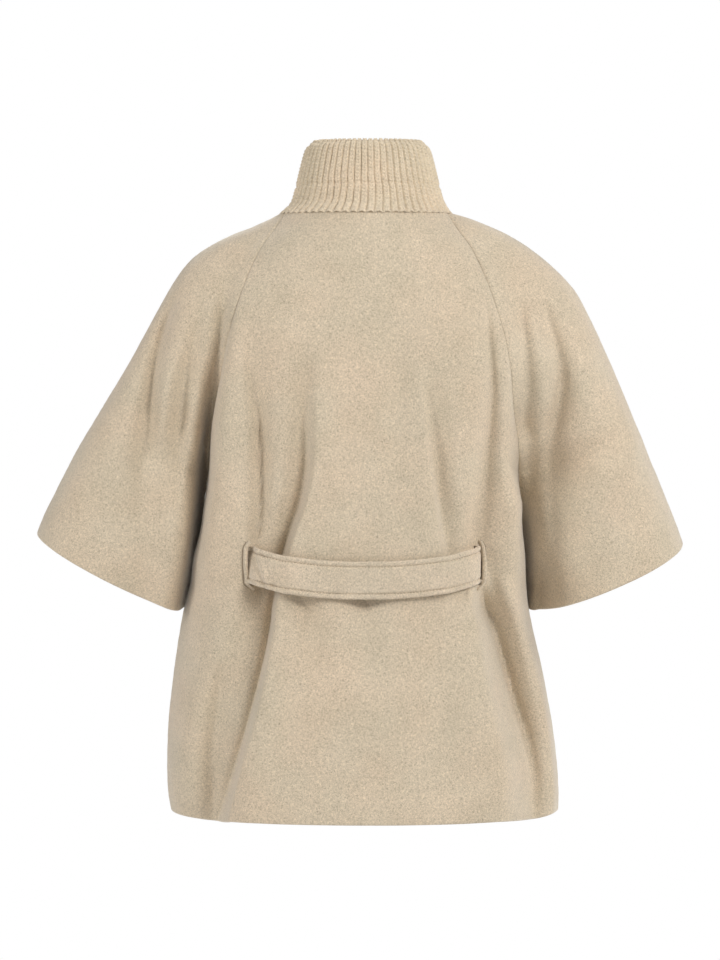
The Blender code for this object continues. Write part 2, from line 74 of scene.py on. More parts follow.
BELT_WIDTH = 0.042
BELT_REST = 0.0850        # where the belt meets the cloth again, past the hollow by a slot
SLOT_X = 0.1295
SLOT_Z = -0.3970
SLOT_TALL = 0.0460
SLOT_WIDE = 0.0110
SLOT_IN = 0.0040          # how far inside its outer lip's middle a slot is cut
SLOT_SHORT = 0.002        # how much shorter the cut is than the slot, and how much lower
SLOT_LOW = 0.0018
CUT_DEEP = 0.030
LIP_WIDE = 0.0054

BodyRow = namedtuple("BodyRow", "z left right edge_y turn reach depth flat side_y")
BODY = (
    # z, half widths left and right, depth of the edge, the way the section turns there in
    # degrees, how far it runs straight there, depth at the centre, flat share of the middle,
    # and how far the edge is drawn along to the front or back
    BodyRow(0.000, 0.0920, 0.0920, 0.0260, -68, 0.030, 0.082, 0.50, 0.000),
    BodyRow(-0.018, 0.1020, 0.1020, 0.0440, -50, 0.030, 0.088, 0.50, 0.000),
    BodyRow(-0.040, 0.1175, 0.1175, 0.0600, -40, 0.034, 0.095, 0.50, 0.000),
    BodyRow(-0.068, 0.1310, 0.1310, 0.0750, -33, 0.038, 0.103, 0.50, 0.000),
    BodyRow(-0.100, 0.1430, 0.1430, 0.0860, -30, 0.040, 0.110, 0.50, 0.000),
    BodyRow(-0.140, 0.1552, 0.1545, 0.0920, -44, 0.040, 0.116, 0.56, 0.000),
    BodyRow(-0.180, 0.1625, 0.1615, 0.0820, -92, 0.036, 0.120, 0.66, 0.000),
    BodyRow(-0.222, 0.1692, 0.1660, 0.0620, -104, 0.052, 0.123, 0.74, -0.003),
    BodyRow(-0.262, 0.1752, 0.1730, 0.0340, -100, 0.080, 0.125, 0.78, -0.010),
    BodyRow(-0.300, 0.1822, 0.1762, 0.0000, -94, 0.118, 0.126, 0.80, -0.020),
    BodyRow(-0.330, 0.1865, 0.1776, 0.0000, -94, 0.118, 0.127, 0.80, -0.022),
    BodyRow(-0.362, 0.1908, 0.1787, 0.0000, -94, 0.118, 0.128, 0.80, -0.022),
    BodyRow(-0.394, 0.1994, 0.1831, 0.0000, -94, 0.112, 0.129, 0.77, -0.022),
    BodyRow(-0.426, 0.2045, 0.1865, 0.0000, -92, 0.102, 0.131, 0.70, -0.022),
    BodyRow(-0.459, 0.2130, 0.1902, 0.0000, -90, 0.094, 0.133, 0.64, -0.022),
    BodyRow(-0.500, 0.2200, 0.1990, 0.0000, -90, 0.090, 0.136, 0.60, -0.020),
    BodyRow(-0.545, 0.2255, 0.2085, 0.0000, -90, 0.090, 0.139, 0.59, -0.018),
    BodyRow(-0.590, 0.2295, 0.2165, 0.0000, -90, 0.090, 0.142, 0.58, -0.014),
    BodyRow(-0.632, 0.2300, 0.2210, 0.0000, -90, 0.090, 0.144, 0.58, -0.010),
    BodyRow(-0.664, 0.2287, 0.2226, 0.0000, -90, 0.090, 0.146, 0.57, -0.008),
    BodyRow(-0.686, 0.2252, 0.2220, 0.0000, -90, 0.090, 0.147, 0.57, -0.008),
)

RIGHT_ARMHOLE = (
    # height, how far the right armhole's seam is filled out on the back, how many degrees
    # flatter the back meets it there, how far the seam itself lies to the back, and how many
    # degrees flatter the sleeve leaves it
    (-0.100, 0.000, 0, 0.000, 0), (-0.140, 0.007, 10, 0.000, 0), (-0.180, 0.020, 44, 0.000, 8),
    (-0.222, 0.028, 54, 0.004, 24), (-0.262, 0.022, 40, 0.018, 40), (-0.300, 0.000, 8, 0.036, 34),
    (-0.330, 0.000, 0, 0.034, 20), (-0.362, 0.000, 0, 0.022, 8), (-0.394, 0.000, 0, 0.008, 0),
    (-0.426, 0.000, 0, 0.000, 0),
)


def right_armhole(z):
    """How the right armhole differs from the left one at a height."""
    heights, *columns = zip(*RIGHT_ARMHOLE[::-1])
    return [np.interp(z, heights, values) for values in columns]


OverRow = namedtuple("OverRow", ("left_x left_z right_x right_z y turn seam_reach over_reach "
                                 "front_turn front"))
OVERARM = (
    # the line along the top of each sleeve; how the back half's section leaves the raglan
    # seam and arrives here; how the front half leaves it, and its share of the back's depth
    OverRow(0.0970, -0.002, 0.0970, -0.002, 0.000, -68, 0.010, 0.014, -68, 0.93),
    OverRow(0.1240, -0.015, 0.1250, -0.011, 0.000, -50, 0.014, 0.030, -50, 0.93),
    OverRow(0.1650, -0.032, 0.1655, -0.029, 0.000, -40, 0.024, 0.046, -40, 0.93),
    OverRow(0.2010, -0.057, 0.2035, -0.055, 0.000, -33, 0.034, 0.058, -33, 0.93),
    OverRow(0.2255, -0.092, 0.2370, -0.090, 0.000, -30, 0.040, 0.068, -30, 0.93),
    OverRow(0.2472, -0.131, 0.2592, -0.129, 0.000, -24, 0.044, 0.076, -24, 0.93),
    OverRow(0.2670, -0.166, 0.2747, -0.163, -0.001, 4, 0.046, 0.084, 4, 0.93),
    OverRow(0.2862, -0.198, 0.2891, -0.196, -0.003, 32, 0.060, 0.090, 32, 0.93),
    OverRow(0.3036, -0.226, 0.3018, -0.227, -0.005, 54, 0.092, 0.097, 50, 0.92),
    OverRow(0.3195, -0.252, 0.3130, -0.254, -0.007, 72, 0.126, 0.106, 60, 0.88),
    OverRow(0.3330, -0.275, 0.3232, -0.278, -0.009, 80, 0.133, 0.114, 78, 0.80),
    OverRow(0.3455, -0.299, 0.3338, -0.302, -0.012, 84, 0.138, 0.122, 86, 0.71),
    OverRow(0.3580, -0.324, 0.3440, -0.326, -0.014, 85, 0.143, 0.129, 90, 0.64),
    OverRow(0.3695, -0.346, 0.3546, -0.352, -0.016, 86, 0.147, 0.136, 91, 0.58),
    OverRow(0.3785, -0.3675, 0.3645, -0.3795, -0.018, 86, 0.150, 0.142, 92, 0.53),
)
ArmRow = namedtuple("ArmRow", "left_x left_z right_x right_z y")
UNDERSLEEVE = (
    # the inner line of each sleeve below the underarm, which lies to the front of the side
    ArmRow(0.1852, -0.332, 0.1764, -0.332, -0.028),
    ArmRow(0.1887, -0.364, 0.1793, -0.364, -0.035),
    ArmRow(0.1940, -0.396, 0.1824, -0.396, -0.041),
    ArmRow(0.2025, -0.4265, 0.1846, -0.4265, -0.047),
    ArmRow(0.2100, -0.4565, 0.1866, -0.4570, -0.052),
)


# ------------------------------------------------------------------ folds and creases

FoldRow = namedtuple("FoldRow", "z x deep steep easy ridge slit")
BACK_FOLDS = (
    # height, distance of the hollow's bottom from the centre, its depth, width of the step
    # down to it, width of the way back up, width of the ridge inside, and how much deeper
    # the bottom is cut; folds right of the centre have x below 0
    (
        (-0.140, 0.0660, 0.0000, 0.016, 0.030, 0.036, 0.0000),
        (-0.192, 0.0680, 0.0070, 0.016, 0.030, 0.036, 0.0010),
        (-0.235, 0.0688, 0.0105, 0.015, 0.032, 0.036, 0.0020),
        (-0.280, 0.0685, 0.0140, 0.014, 0.034, 0.036, 0.0025),
        (-0.324, 0.0752, 0.0170, 0.012, 0.036, 0.036, 0.0035),
        (-0.358, 0.0860, 0.0185, 0.010, 0.040, 0.036, 0.0045),
        (-0.385, 0.0938, 0.0200, 0.009, 0.044, 0.036, 0.0060),
        (-0.430, 0.1030, 0.0240, 0.008, 0.048, 0.036, 0.0070),
        (-0.446, 0.1058, 0.0245, 0.006, 0.052, 0.036, 0.0075),
        (-0.468, 0.1083, 0.0240, 0.007, 0.058, 0.036, 0.0075),
        (-0.501, 0.1143, 0.0230, 0.007, 0.064, 0.038, 0.0065),
        (-0.545, 0.1250, 0.0220, 0.009, 0.070, 0.040, 0.0055),
        (-0.589, 0.1372, 0.0215, 0.010, 0.072, 0.042, 0.0055),
        (-0.634, 0.1518, 0.0240, 0.012, 0.070, 0.044, 0.0050),
        (-0.667, 0.1625, 0.0240, 0.014, 0.066, 0.046, 0.0045),
        (-0.700, 0.1735, 0.0230, 0.016, 0.060, 0.048, 0.0040),
    ),
    (
        (-0.150, -0.0640, 0.0000, 0.015, 0.022, 0.036, 0.0000),
        (-0.195, -0.0710, 0.0045, 0.014, 0.022, 0.036, 0.0000),
        (-0.235, -0.0755, 0.0070, 0.013, 0.022, 0.036, 0.0000),
        (-0.280, -0.0795, 0.0095, 0.012, 0.022, 0.036, 0.0005),
        (-0.324, -0.0830, 0.0105, 0.010, 0.024, 0.036, 0.0010),
        (-0.358, -0.0885, 0.0090, 0.010, 0.026, 0.036, 0.0010),
        (-0.385, -0.0930, 0.0090, 0.011, 0.030, 0.036, 0.0010),
        (-0.430, -0.1000, 0.0035, 0.014, 0.036, 0.036, 0.0000),
        (-0.475, -0.1060, 0.0018, 0.018, 0.036, 0.036, 0.0000),
        (-0.520, -0.1090, 0.0012, 0.022, 0.036, 0.036, 0.0000),
        (-0.573, -0.1150, 0.0010, 0.026, 0.036, 0.036, 0.0000),
        (-0.643, -0.1230, 0.0010, 0.030, 0.036, 0.036, 0.0000),
        (-0.700, -0.1270, 0.0010, 0.032, 0.036, 0.036, 0.0000),
    ),
    (
        (-0.402, -0.1260, 0.0000, 0.016, 0.030, 0.032, 0.0000),
        (-0.425, -0.1300, 0.0200, 0.016, 0.030, 0.034, 0.0040),
        (-0.446, -0.1345, 0.0310, 0.020, 0.042, 0.044, 0.0070),
        (-0.468, -0.1450, 0.0360, 0.024, 0.048, 0.050, 0.0080),
        (-0.501, -0.1550, 0.0400, 0.030, 0.054, 0.056, 0.0090),
        (-0.545, -0.1670, 0.0390, 0.034, 0.052, 0.060, 0.0090),
        (-0.589, -0.1805, 0.0350, 0.037, 0.044, 0.060, 0.0070),
        (-0.634, -0.1900, 0.0310, 0.038, 0.038, 0.060, 0.0050),
        (-0.667, -0.1900, 0.0260, 0.038, 0.036, 0.060, 0.0030),
        (-0.700, -0.1910, 0.0160, 0.034, 0.024, 0.060, 0.0020),
    ),
)
SLIT_WIDE = 0.006
CREST_SHARE = 0.4         # height of a fold's crest as a share of its depth
TROUGH_POWER = 1.5        # how sharply a trough's bottom is creased
LINE_STEPS = 6            # smooth rows made from each row of a fold or crease
HEM_LIFT = 0.0018         # how much higher the hem hangs at the centre back
HEM_HANG = 0.14           # how far it drops where the cloth lies deeper, as a share of that
HEM_FROM, HEM_RUN = 16, 4           # the body row where that begins, and the rows it takes
EDGE_FROM, EDGE_RUN = 0.92, 0.08    # where the body draws in to the sleeve's edge

CreaseRow = namedtuple("CreaseRow", "x z deep inner outer")
BACK_CREASES = (
    # soft troughs (deep below 0) and ridges (above 0) on the back and the sleeves' back
    # halves: x, z, depth, and half widths towards and away from the centre back
    (   # left of the left fold, from the armhole to the slot
        (0.1330, -0.110, 0.0000, 0.014, 0.010),
        (0.1290, -0.148, -0.0080, 0.016, 0.009),
        (0.1260, -0.192, -0.0140, 0.020, 0.009),
        (0.1200, -0.235, -0.0190, 0.014, 0.010),
        (0.1175, -0.280, -0.0215, 0.013, 0.011),
        (0.1170, -0.324, -0.0215, 0.012, 0.011),
        (0.1195, -0.355, -0.0190, 0.011, 0.010),
        (0.1215, -0.378, -0.0070, 0.010, 0.009),
        (0.1230, -0.395, 0.0000, 0.009, 0.008),
    ),
    (   # the pocket under the belt's left end
        (0.1240, -0.396, 0.0000, 0.014, 0.010),
        (0.1210, -0.418, -0.0130, 0.016, 0.011),
        (0.1190, -0.434, -0.0050, 0.014, 0.012),
        (0.1180, -0.450, 0.0000, 0.012, 0.012),
    ),
    (   # the lit ridge outside it, near the left edge of the body
        (0.1560, -0.190, 0.0000, 0.014, 0.012),
        (0.1630, -0.230, 0.0055, 0.018, 0.010),
        (0.1710, -0.284, 0.0100, 0.020, 0.009),
        (0.1770, -0.330, 0.0110, 0.020, 0.009),
        (0.1830, -0.370, 0.0090, 0.020, 0.010),
        (0.1870, -0.430, 0.0000, 0.018, 0.012),
    ),
    (   # right armhole trough, down to the right slot
        (-0.1340, -0.095, 0.0000, 0.007, 0.007),
        (-0.1380, -0.142, -0.0080, 0.007, 0.007),
        (-0.1405, -0.192, -0.0135, 0.008, 0.008),
        (-0.1390, -0.235, -0.0170, 0.012, 0.010),
        (-0.1350, -0.280, -0.0235, 0.018, 0.013),
        (-0.1310, -0.323, -0.0290, 0.024, 0.019),
        (-0.1265, -0.352, -0.0325, 0.024, 0.030),
        (-0.1280, -0.376, -0.0325, 0.021, 0.033),
        (-0.1360, -0.400, -0.0290, 0.016, 0.030),
        (-0.1450, -0.425, -0.0110, 0.014, 0.028),
        (-0.1520, -0.445, 0.0000, 0.014, 0.024),
    ),
    (   # the lit ridge outside it
        (-0.1580, -0.220, 0.0000, 0.010, 0.010),
        (-0.1620, -0.270, 0.0060, 0.011, 0.010),
        (-0.1650, -0.310, 0.0080, 0.012, 0.010),
        (-0.1680, -0.350, 0.0080, 0.012, 0.010),
        (-0.1710, -0.390, 0.0060, 0.012, 0.010),
        (-0.1740, -0.420, 0.0000, 0.012, 0.010),
    ),
    (   # between the right fold and that trough
        (-0.1150, -0.200, 0.0000, 0.016, 0.012),
        (-0.1160, -0.270, 0.0010, 0.014, 0.010),
        (-0.1170, -0.330, 0.0010, 0.014, 0.009),
        (-0.1230, -0.380, 0.0000, 0.014, 0.009),
    ),
    (   # the ridge outside the right fold below the slot
        (-0.1640, -0.410, 0.0000, 0.018, 0.014),
        (-0.1700, -0.446, 0.0210, 0.022, 0.014),
        (-0.1805, -0.478, 0.0300, 0.026, 0.013),
        (-0.1890, -0.513, 0.0340, 0.027, 0.013),
        (-0.1990, -0.558, 0.0330, 0.027, 0.013),
        (-0.2075, -0.604, 0.0290, 0.027, 0.013),
        (-0.2115, -0.650, 0.0210, 0.026, 0.013),
        (-0.2120, -0.700, 0.0120, 0.024, 0.013),
    ),
    (   # below the belt, inside the left fold
        (0.0800, -0.396, 0.0000, 0.012, 0.012),
        (0.0790, -0.418, -0.0080, 0.012, 0.012),
        (0.0735, -0.434, -0.0120, 0.012, 0.012),
        (0.0640, -0.453, -0.0085, 0.012, 0.012),
        (0.0605, -0.470, -0.0075, 0.012, 0.013),
        (0.0560, -0.501, -0.0045, 0.014, 0.014),
        (0.0500, -0.560, 0.0000, 0.016, 0.016),
    ),
    (   # below the belt's middle
        (0.0080, -0.392, 0.0000, 0.014, 0.012),
        (0.0080, -0.412, -0.0080, 0.016, 0.012),
        (0.0060, -0.434, -0.0150, 0.018, 0.012),
        (0.0020, -0.450, -0.0075, 0.018, 0.012),
        (-0.0020, -0.470, -0.0065, 0.018, 0.012),
        (-0.0020, -0.501, -0.0040, 0.018, 0.016),
        (-0.0020, -0.560, 0.0000, 0.018, 0.018),
    ),
    (   # below the belt, beside the right fold
        (-0.1120, -0.392, 0.0000, 0.010, 0.010),
        (-0.1120, -0.410, -0.0080, 0.010, 0.009),
        (-0.1115, -0.427, -0.0080, 0.010, 0.009),
        (-0.1110, -0.440, 0.0000, 0.010, 0.009),
    ),
    (   # long faint trough down the middle of the skirt
        (-0.0150, -0.430, 0.0000, 0.030, 0.026),
        (-0.0240, -0.520, -0.0016, 0.034, 0.030),
        (-0.0300, -0.620, -0.0026, 0.038, 0.034),
        (-0.0340, -0.700, -0.0030, 0.040, 0.036),
    ),
    (   # faint trough down the upper back
        (-0.0360, -0.110, 0.0000, 0.014, 0.014),
        (-0.0370, -0.146, -0.0030, 0.014, 0.014),
        (-0.0385, -0.192, -0.0068, 0.015, 0.013),
        (-0.0380, -0.235, -0.0070, 0.017, 0.014),
        (-0.0330, -0.284, -0.0050, 0.020, 0.016),
        (-0.0220, -0.330, -0.0040, 0.018, 0.018),
        (-0.0100, -0.364, -0.0042, 0.018, 0.018),
        (-0.0060, -0.395, 0.0000, 0.018, 0.018),
    ),
    (   # outside the left fold, near the hem
        (0.1600, -0.500, 0.0000, 0.020, 0.012),
        (0.1670, -0.558, -0.0150, 0.017, 0.015),
        (0.1735, -0.604, -0.0165, 0.020, 0.015),
        (0.1725, -0.650, -0.0160, 0.019, 0.018),
        (0.1735, -0.700, -0.0210, 0.018, 0.020),
    ),
    (   # the lit way down inside the left fold, near the hem
        (0.1050, -0.540, 0.0000, 0.034, 0.012),
        (0.1150, -0.604, 0.0040, 0.038, 0.012),
        (0.1250, -0.650, 0.0060, 0.042, 0.012),
        (0.1320, -0.700, 0.0075, 0.046, 0.012),
    ),
    (   # middle of the left sleeve
        (0.2150, -0.090, 0.0000, 0.012, 0.011),
        (0.2262, -0.124, -0.0200, 0.009, 0.011),
        (0.2375, -0.169, -0.0220, 0.013, 0.011),
        (0.2440, -0.215, -0.0215, 0.013, 0.013),
        (0.2490, -0.261, -0.0160, 0.016, 0.015),
        (0.2535, -0.307, -0.0080, 0.018, 0.018),
        (0.2580, -0.360, 0.0000, 0.018, 0.018),
    ),
    (   # between it and the body
        (0.1850, -0.095, 0.0000, 0.012, 0.012),
        (0.1880, -0.124, -0.0055, 0.012, 0.012),
        (0.1984, -0.169, -0.0130, 0.012, 0.012),
        (0.2055, -0.208, -0.0140, 0.012, 0.012),
        (0.2085, -0.240, -0.0150, 0.012, 0.012),
        (0.2105, -0.275, -0.0100, 0.012, 0.013),
        (0.2120, -0.320, -0.0060, 0.012, 0.014),
        (0.2140, -0.360, 0.0000, 0.012, 0.014),
    ),
    (   # outer part of the left sleeve
        (0.2700, -0.200, 0.0000, 0.014, 0.014),
        (0.2880, -0.270, -0.0014, 0.016, 0.016),
        (0.3050, -0.330, -0.0018, 0.018, 0.018),
        (0.3200, -0.400, -0.0014, 0.020, 0.020),
    ),
    (   # the lit ridge between those two
        (0.2180, -0.150, 0.0000, 0.010, 0.010),
        (0.2240, -0.200, 0.0070, 0.010, 0.011),
        (0.2270, -0.235, 0.0070, 0.011, 0.012),
        (0.2300, -0.280, 0.0000, 0.012, 0.013),
    ),
    (   # the fold of the left sleeve against the body
        (0.1540, -0.070, 0.0000, 0.008, 0.011),
        (0.1585, -0.098, -0.0080, 0.008, 0.010),
        (0.1625, -0.122, -0.0160, 0.008, 0.010),
        (0.1645, -0.146, -0.0155, 0.008, 0.010),
        (0.1690, -0.180, -0.0150, 0.008, 0.010),
        (0.1740, -0.215, -0.0170, 0.008, 0.009),
        (0.1790, -0.261, -0.0260, 0.008, 0.009),
        (0.1840, -0.305, -0.0240, 0.008, 0.009),
        (0.1880, -0.345, -0.0160, 0.008, 0.009),
        (0.1930, -0.390, -0.0080, 0.008, 0.009),
        (0.2000, -0.430, 0.0000, 0.008, 0.009),
    ),
    (   # the right side's smooth way over the seam
        (-0.1850, -0.225, 0.0000, 0.012, 0.014),
        (-0.1960, -0.265, 0.0020, 0.012, 0.012),
        (-0.1990, -0.305, 0.0035, 0.012, 0.014),
        (-0.2010, -0.345, 0.0080, 0.012, 0.020),
        (-0.2030, -0.385, 0.0045, 0.012, 0.028),
        (-0.2060, -0.430, 0.0010, 0.012, 0.030),
        (-0.2080, -0.475, 0.0000, 0.012, 0.030),
    ),
    (   # the fold of the right sleeve against the body
        (-0.1740, -0.100, 0.0000, 0.011, 0.011),
        (-0.1765, -0.124, -0.0100, 0.011, 0.011),
        (-0.1808, -0.169, -0.0145, 0.012, 0.011),
        (-0.1810, -0.215, -0.0165, 0.013, 0.013),
        (-0.1770, -0.261, -0.0225, 0.012, 0.018),
        (-0.1850, -0.300, -0.0060, 0.010, 0.010),
        (-0.1870, -0.340, 0.0000, 0.008, 0.009),
    ),
    (   # the next one, on the right sleeve
        (-0.2000, -0.100, 0.0000, 0.012, 0.014),
        (-0.2070, -0.124, -0.0130, 0.013, 0.014),
        (-0.2180, -0.169, -0.0240, 0.015, 0.016),
        (-0.2180, -0.215, -0.0300, 0.015, 0.016),
        (-0.2100, -0.261, -0.0145, 0.012, 0.015),
        (-0.2100, -0.305, -0.0075, 0.012, 0.018),
        (-0.2115, -0.350, -0.0070, 0.011, 0.018),
        (-0.2150, -0.400, 0.0000, 0.010, 0.020),
    ),
    (   # outer part of the right sleeve
        (-0.2600, -0.180, 0.0000, 0.014, 0.016),
        (-0.2760, -0.250, -0.0014, 0.016, 0.018),
        (-0.2880, -0.330, -0.0020, 0.018, 0.020),
        (-0.2950, -0.420, -0.0016, 0.020, 0.022),
    ),
)
SLEEVE_CREASES = (
    # more of them, which only the sleeves' back halves take
    (   # the edge of the left sleeve, along that fold
        (0.1870, -0.160, 0.0000, 0.006, 0.016),
        (0.1885, -0.200, 0.0030, 0.006, 0.020),
        (0.1900, -0.240, 0.0160, 0.006, 0.024),
        (0.1925, -0.284, 0.0340, 0.006, 0.028),
        (0.1960, -0.328, 0.0440, 0.006, 0.030),
        (0.2005, -0.365, 0.0460, 0.006, 0.030),
        (0.2040, -0.396, 0.0460, 0.006, 0.030),
        (0.2100, -0.440, 0.0440, 0.006, 0.030),
        (0.2140, -0.480, 0.0420, 0.006, 0.030),
    ),
    (   # the right sleeve's inner corner
        (-0.2040, -0.375, 0.0000, 0.008, 0.012),
        (-0.2020, -0.400, -0.0080, 0.008, 0.012),
        (-0.2005, -0.430, -0.0170, 0.008, 0.013),
        (-0.2000, -0.480, -0.0220, 0.008, 0.014),
    ),
)
FRONT_CREASES = (
    # the same for the fronts and the sleeves' front halves
    (   # from the left front's neckline to its hem
        (0.0860, -0.150, 0.0000, 0.016, 0.018),
        (0.0900, -0.250, -0.0036, 0.016, 0.018),
        (0.1000, -0.380, -0.0060, 0.018, 0.022),
        (0.1180, -0.540, -0.0070, 0.022, 0.028),
        (0.1300, -0.700, -0.0060, 0.026, 0.032),
    ),
    (   # beside the left armhole
        (0.1400, -0.120, 0.0000, 0.012, 0.012),
        (0.1420, -0.210, -0.0034, 0.012, 0.013),
        (0.1450, -0.320, -0.0044, 0.013, 0.016),
        (0.1560, -0.440, -0.0034, 0.016, 0.020),
        (0.1700, -0.580, 0.0000, 0.018, 0.020),
    ),
    (   # from the right front's neckline to its hem
        (-0.0780, -0.160, 0.0000, 0.016, 0.018),
        (-0.0840, -0.270, -0.0040, 0.016, 0.018),
        (-0.0960, -0.410, -0.0064, 0.018, 0.022),
        (-0.1100, -0.560, -0.0066, 0.022, 0.028),
        (-0.1220, -0.700, -0.0054, 0.026, 0.032),
    ),
    (   # beside the right armhole
        (-0.1380, -0.110, 0.0000, 0.012, 0.012),
        (-0.1400, -0.220, -0.0038, 0.012, 0.013),
        (-0.1440, -0.330, -0.0040, 0.013, 0.016),
        (-0.1580, -0.460, -0.0030, 0.016, 0.020),
        (-0.1720, -0.600, 0.0000, 0.018, 0.020),
    ),
    (   # the left sleeve's front half
        (0.2050, -0.110, 0.0000, 0.014, 0.016),
        (0.2180, -0.190, -0.0030, 0.014, 0.018),
        (0.2400, -0.300, -0.0036, 0.018, 0.022),
        (0.2650, -0.430, -0.0030, 0.022, 0.026),
    ),
    (   # the right sleeve's front half
        (-0.2080, -0.110, 0.0000, 0.014, 0.016),
        (-0.2200, -0.200, -0.0032, 0.014, 0.018),
        (-0.2380, -0.310, -0.0034, 0.018, 0.022),
        (-0.2560, -0.430, -0.0030, 0.022, 0.026),
    ),
)


# ------------------------------------------------------------------ small tools

def at_row(rows, place):
    """All of a table's columns at a fractional row, on smooth curves through the rows."""
    last = len(rows) - 1
    row = min(int(place), last - 1)
    part = place - row
    before, start, end, after = (np.array(rows[min(max(row + step, 0), last)])
                                 for step in (-1, 0, 1, 2))
    rise_in = (end - before) / 2
    rise_out = (after - start) / 2
    values = (start * (2 * part ** 3 - 3 * part ** 2 + 1)
              + rise_in * (part ** 3 - 2 * part ** 2 + part)
              + end * (3 * part ** 2 - 2 * part ** 3)
              + rise_out * (part ** 3 - part ** 2))
    return type(rows[0])(*values)


def ease(share):
    """A soft step from 0 to 1."""
    share = np.clip(share, 0.0, 1.0)
    return share * share * (3 - 2 * share)


def bezier(start, leave, arrive, end, share):
    """Places on a cubic curve from its four control values."""
    rest = 1 - share
    return (start * rest ** 3 + leave * 3 * rest ** 2 * share
            + arrive * 3 * rest * share ** 2 + end * share ** 3)


def filled(rows, steps):
    """The rows of a table with smooth rows put between them."""
    count = (len(rows) - 1) * steps
    return [at_row(rows, n / steps) for n in range(count + 1)]


def column_of(rows, name):
    """One column of a list of rows."""
    return np.array([getattr(row, name) for row in rows])


def unit(vectors):
    """Vectors of length 1."""
    return vectors / np.maximum(np.linalg.norm(vectors, axis=-1, keepdims=True), 1e-12)


# ------------------------------------------------------------------ the form

def lines_of(kind, tables):
    """Tables of plain rows as lines, with smooth rows put between them."""
    return [filled([kind(*row) for row in table], LINE_STEPS) for table in tables]


FOLD_LINES = lines_of(FoldRow, BACK_FOLDS)
CREASE_LINES = {1: lines_of(CreaseRow, BACK_CREASES),      # the back and the sleeves' backs
                2: lines_of(CreaseRow, SLEEVE_CREASES),    # the sleeves' backs alone
                -1: lines_of(CreaseRow, FRONT_CREASES)}


def along(line, name, z):
    """A column of a fold's line at given heights."""
    heights = -column_of(line, "z")
    return np.interp(-z, heights, column_of(line, name))


def fold_relief(x, z):
    """How far the long folds of the back move the cloth in (-) or out (+)."""
    total = np.zeros_like(x)
    for line in FOLD_LINES:
        side = 1.0 if line[0].x > 0 else -1.0
        deep = along(line, "deep", z)
        steep = along(line, "steep", z)
        out = (x - along(line, "x", z)) * side + steep
        hollow = ease(out / steep) * (1 - ease((out - steep) / along(line, "easy", z)))
        crest = np.where(out > 0, 1 - ease(out / steep), 1 - ease(-out / along(line, "ridge", z)))
        cut = along(line, "slit", z) * np.exp(-((out - steep + 0.001) / SLIT_WIDE) ** 2)
        total += (deep * (CREST_SHARE * crest - hollow) - cut) * (x * side > 0)
    return total


def crease_relief(face, x, z):
    """How far the soft creases of a face move the cloth in (-) or out (+)."""
    total = np.zeros_like(x)
    for line in CREASE_LINES[face]:
        middle = along(line, "x", z)
        side = 1.0 if line[0].x >= 0 else -1.0
        out = (x - middle) * side
        width = np.where(out < 0, along(line, "inner", z), along(line, "outer", z))
        deep = along(line, "deep", z)
        top, bottom = line[0].z, line[-1].z
        deep = np.where(z > top, 0 if line[0].deep == 0 else deep, deep)
        deep = np.where(z < bottom, 0 if line[-1].deep == 0 else deep, deep)
        power = np.where(deep < 0, TROUGH_POWER, 2.0)
        total += deep * np.exp(-np.abs(out / width) ** power)
    return total


def seam_share(place):
    """How much of the creases crosses the raglan seam: all above the underarm, none below."""
    return 1 - ease((place - (UNDERARM - 2)) / 1.5)


def body_row(place, shares, side, face):
    """Places on a row of the body, from share 0 at the centre to 1 at the seam."""
    row = at_row(BODY, place)
    width = row.left if side > 0 else row.right
    fill, flatter, seam, _ = right_armhole(row.z) if side < 0 else (0, 0, 0, 0)
    edge_y = row.edge_y + (fill if face > 0 else 0)
    turn = math.radians(row.turn + (flatter if face > 0 else 0))
    x = bezier(0.0, width * row.flat, width - row.reach * math.cos(turn), width, shares)
    y = bezier(row.depth, row.depth, edge_y - row.reach * math.sin(turn), edge_y, shares)
    side_y = row.side_y * ease((shares - 0.5) * 2)
    x = (x + SIDE_LEAN * side_y) * side
    side_y = side_y + seam * ease((shares - 0.5) * 2)
    z = np.full_like(x, row.z)
    crossing = seam_share(place)
    crossing = crossing + (1 - crossing) * ease((1 - shares) * 6)
    # the sleeve takes a crease at the seam twice, so the body's edge does so as well
    crossing = crossing * (1 + ease((shares - EDGE_FROM) / EDGE_RUN))
    if face > 0:
        relief = fold_relief(x, z) * ease((1 - shares) * 4) + crease_relief(1, x, z) * crossing
        y = y + relief
        z = z + (HEM_LIFT * ease(1 - shares) + HEM_HANG * relief) * ease((place - HEM_FROM) / HEM_RUN)
    else:
        z = z - NECK_DROP * (1 - ease(place / 6)) * ease(1 - shares)
        y = -(y * FRONT_SHARE + crease_relief(-1, x, z) * crossing)
    return np.stack([x, y + side_y, z], axis=1)


def seam_place(place, side, face):
    """A place on the raglan seam, or on the sleeve's inner line below the underarm."""
    if place <= UNDERARM:
        edge = body_row(place, np.array([1.0]), side, face)[0]
        edge[1] -= face * crease_relief(face, edge[:1], edge[2:])[0] * seam_share(place)
        return edge
    first = body_row(UNDERARM, np.array([1.0]), side, face)[0]
    back = right_armhole(first[2])[2] if side < 0 else 0
    rows = (ArmRow(first[0] * side, first[2], first[0] * side, first[2], first[1] - back),)
    row = at_row(rows + UNDERSLEEVE, place - UNDERARM)
    x, z = (row.left_x, row.left_z) if side > 0 else (row.right_x, row.right_z)
    return np.array([x * side, row.y + (right_armhole(z)[2] if side < 0 else 0), z])


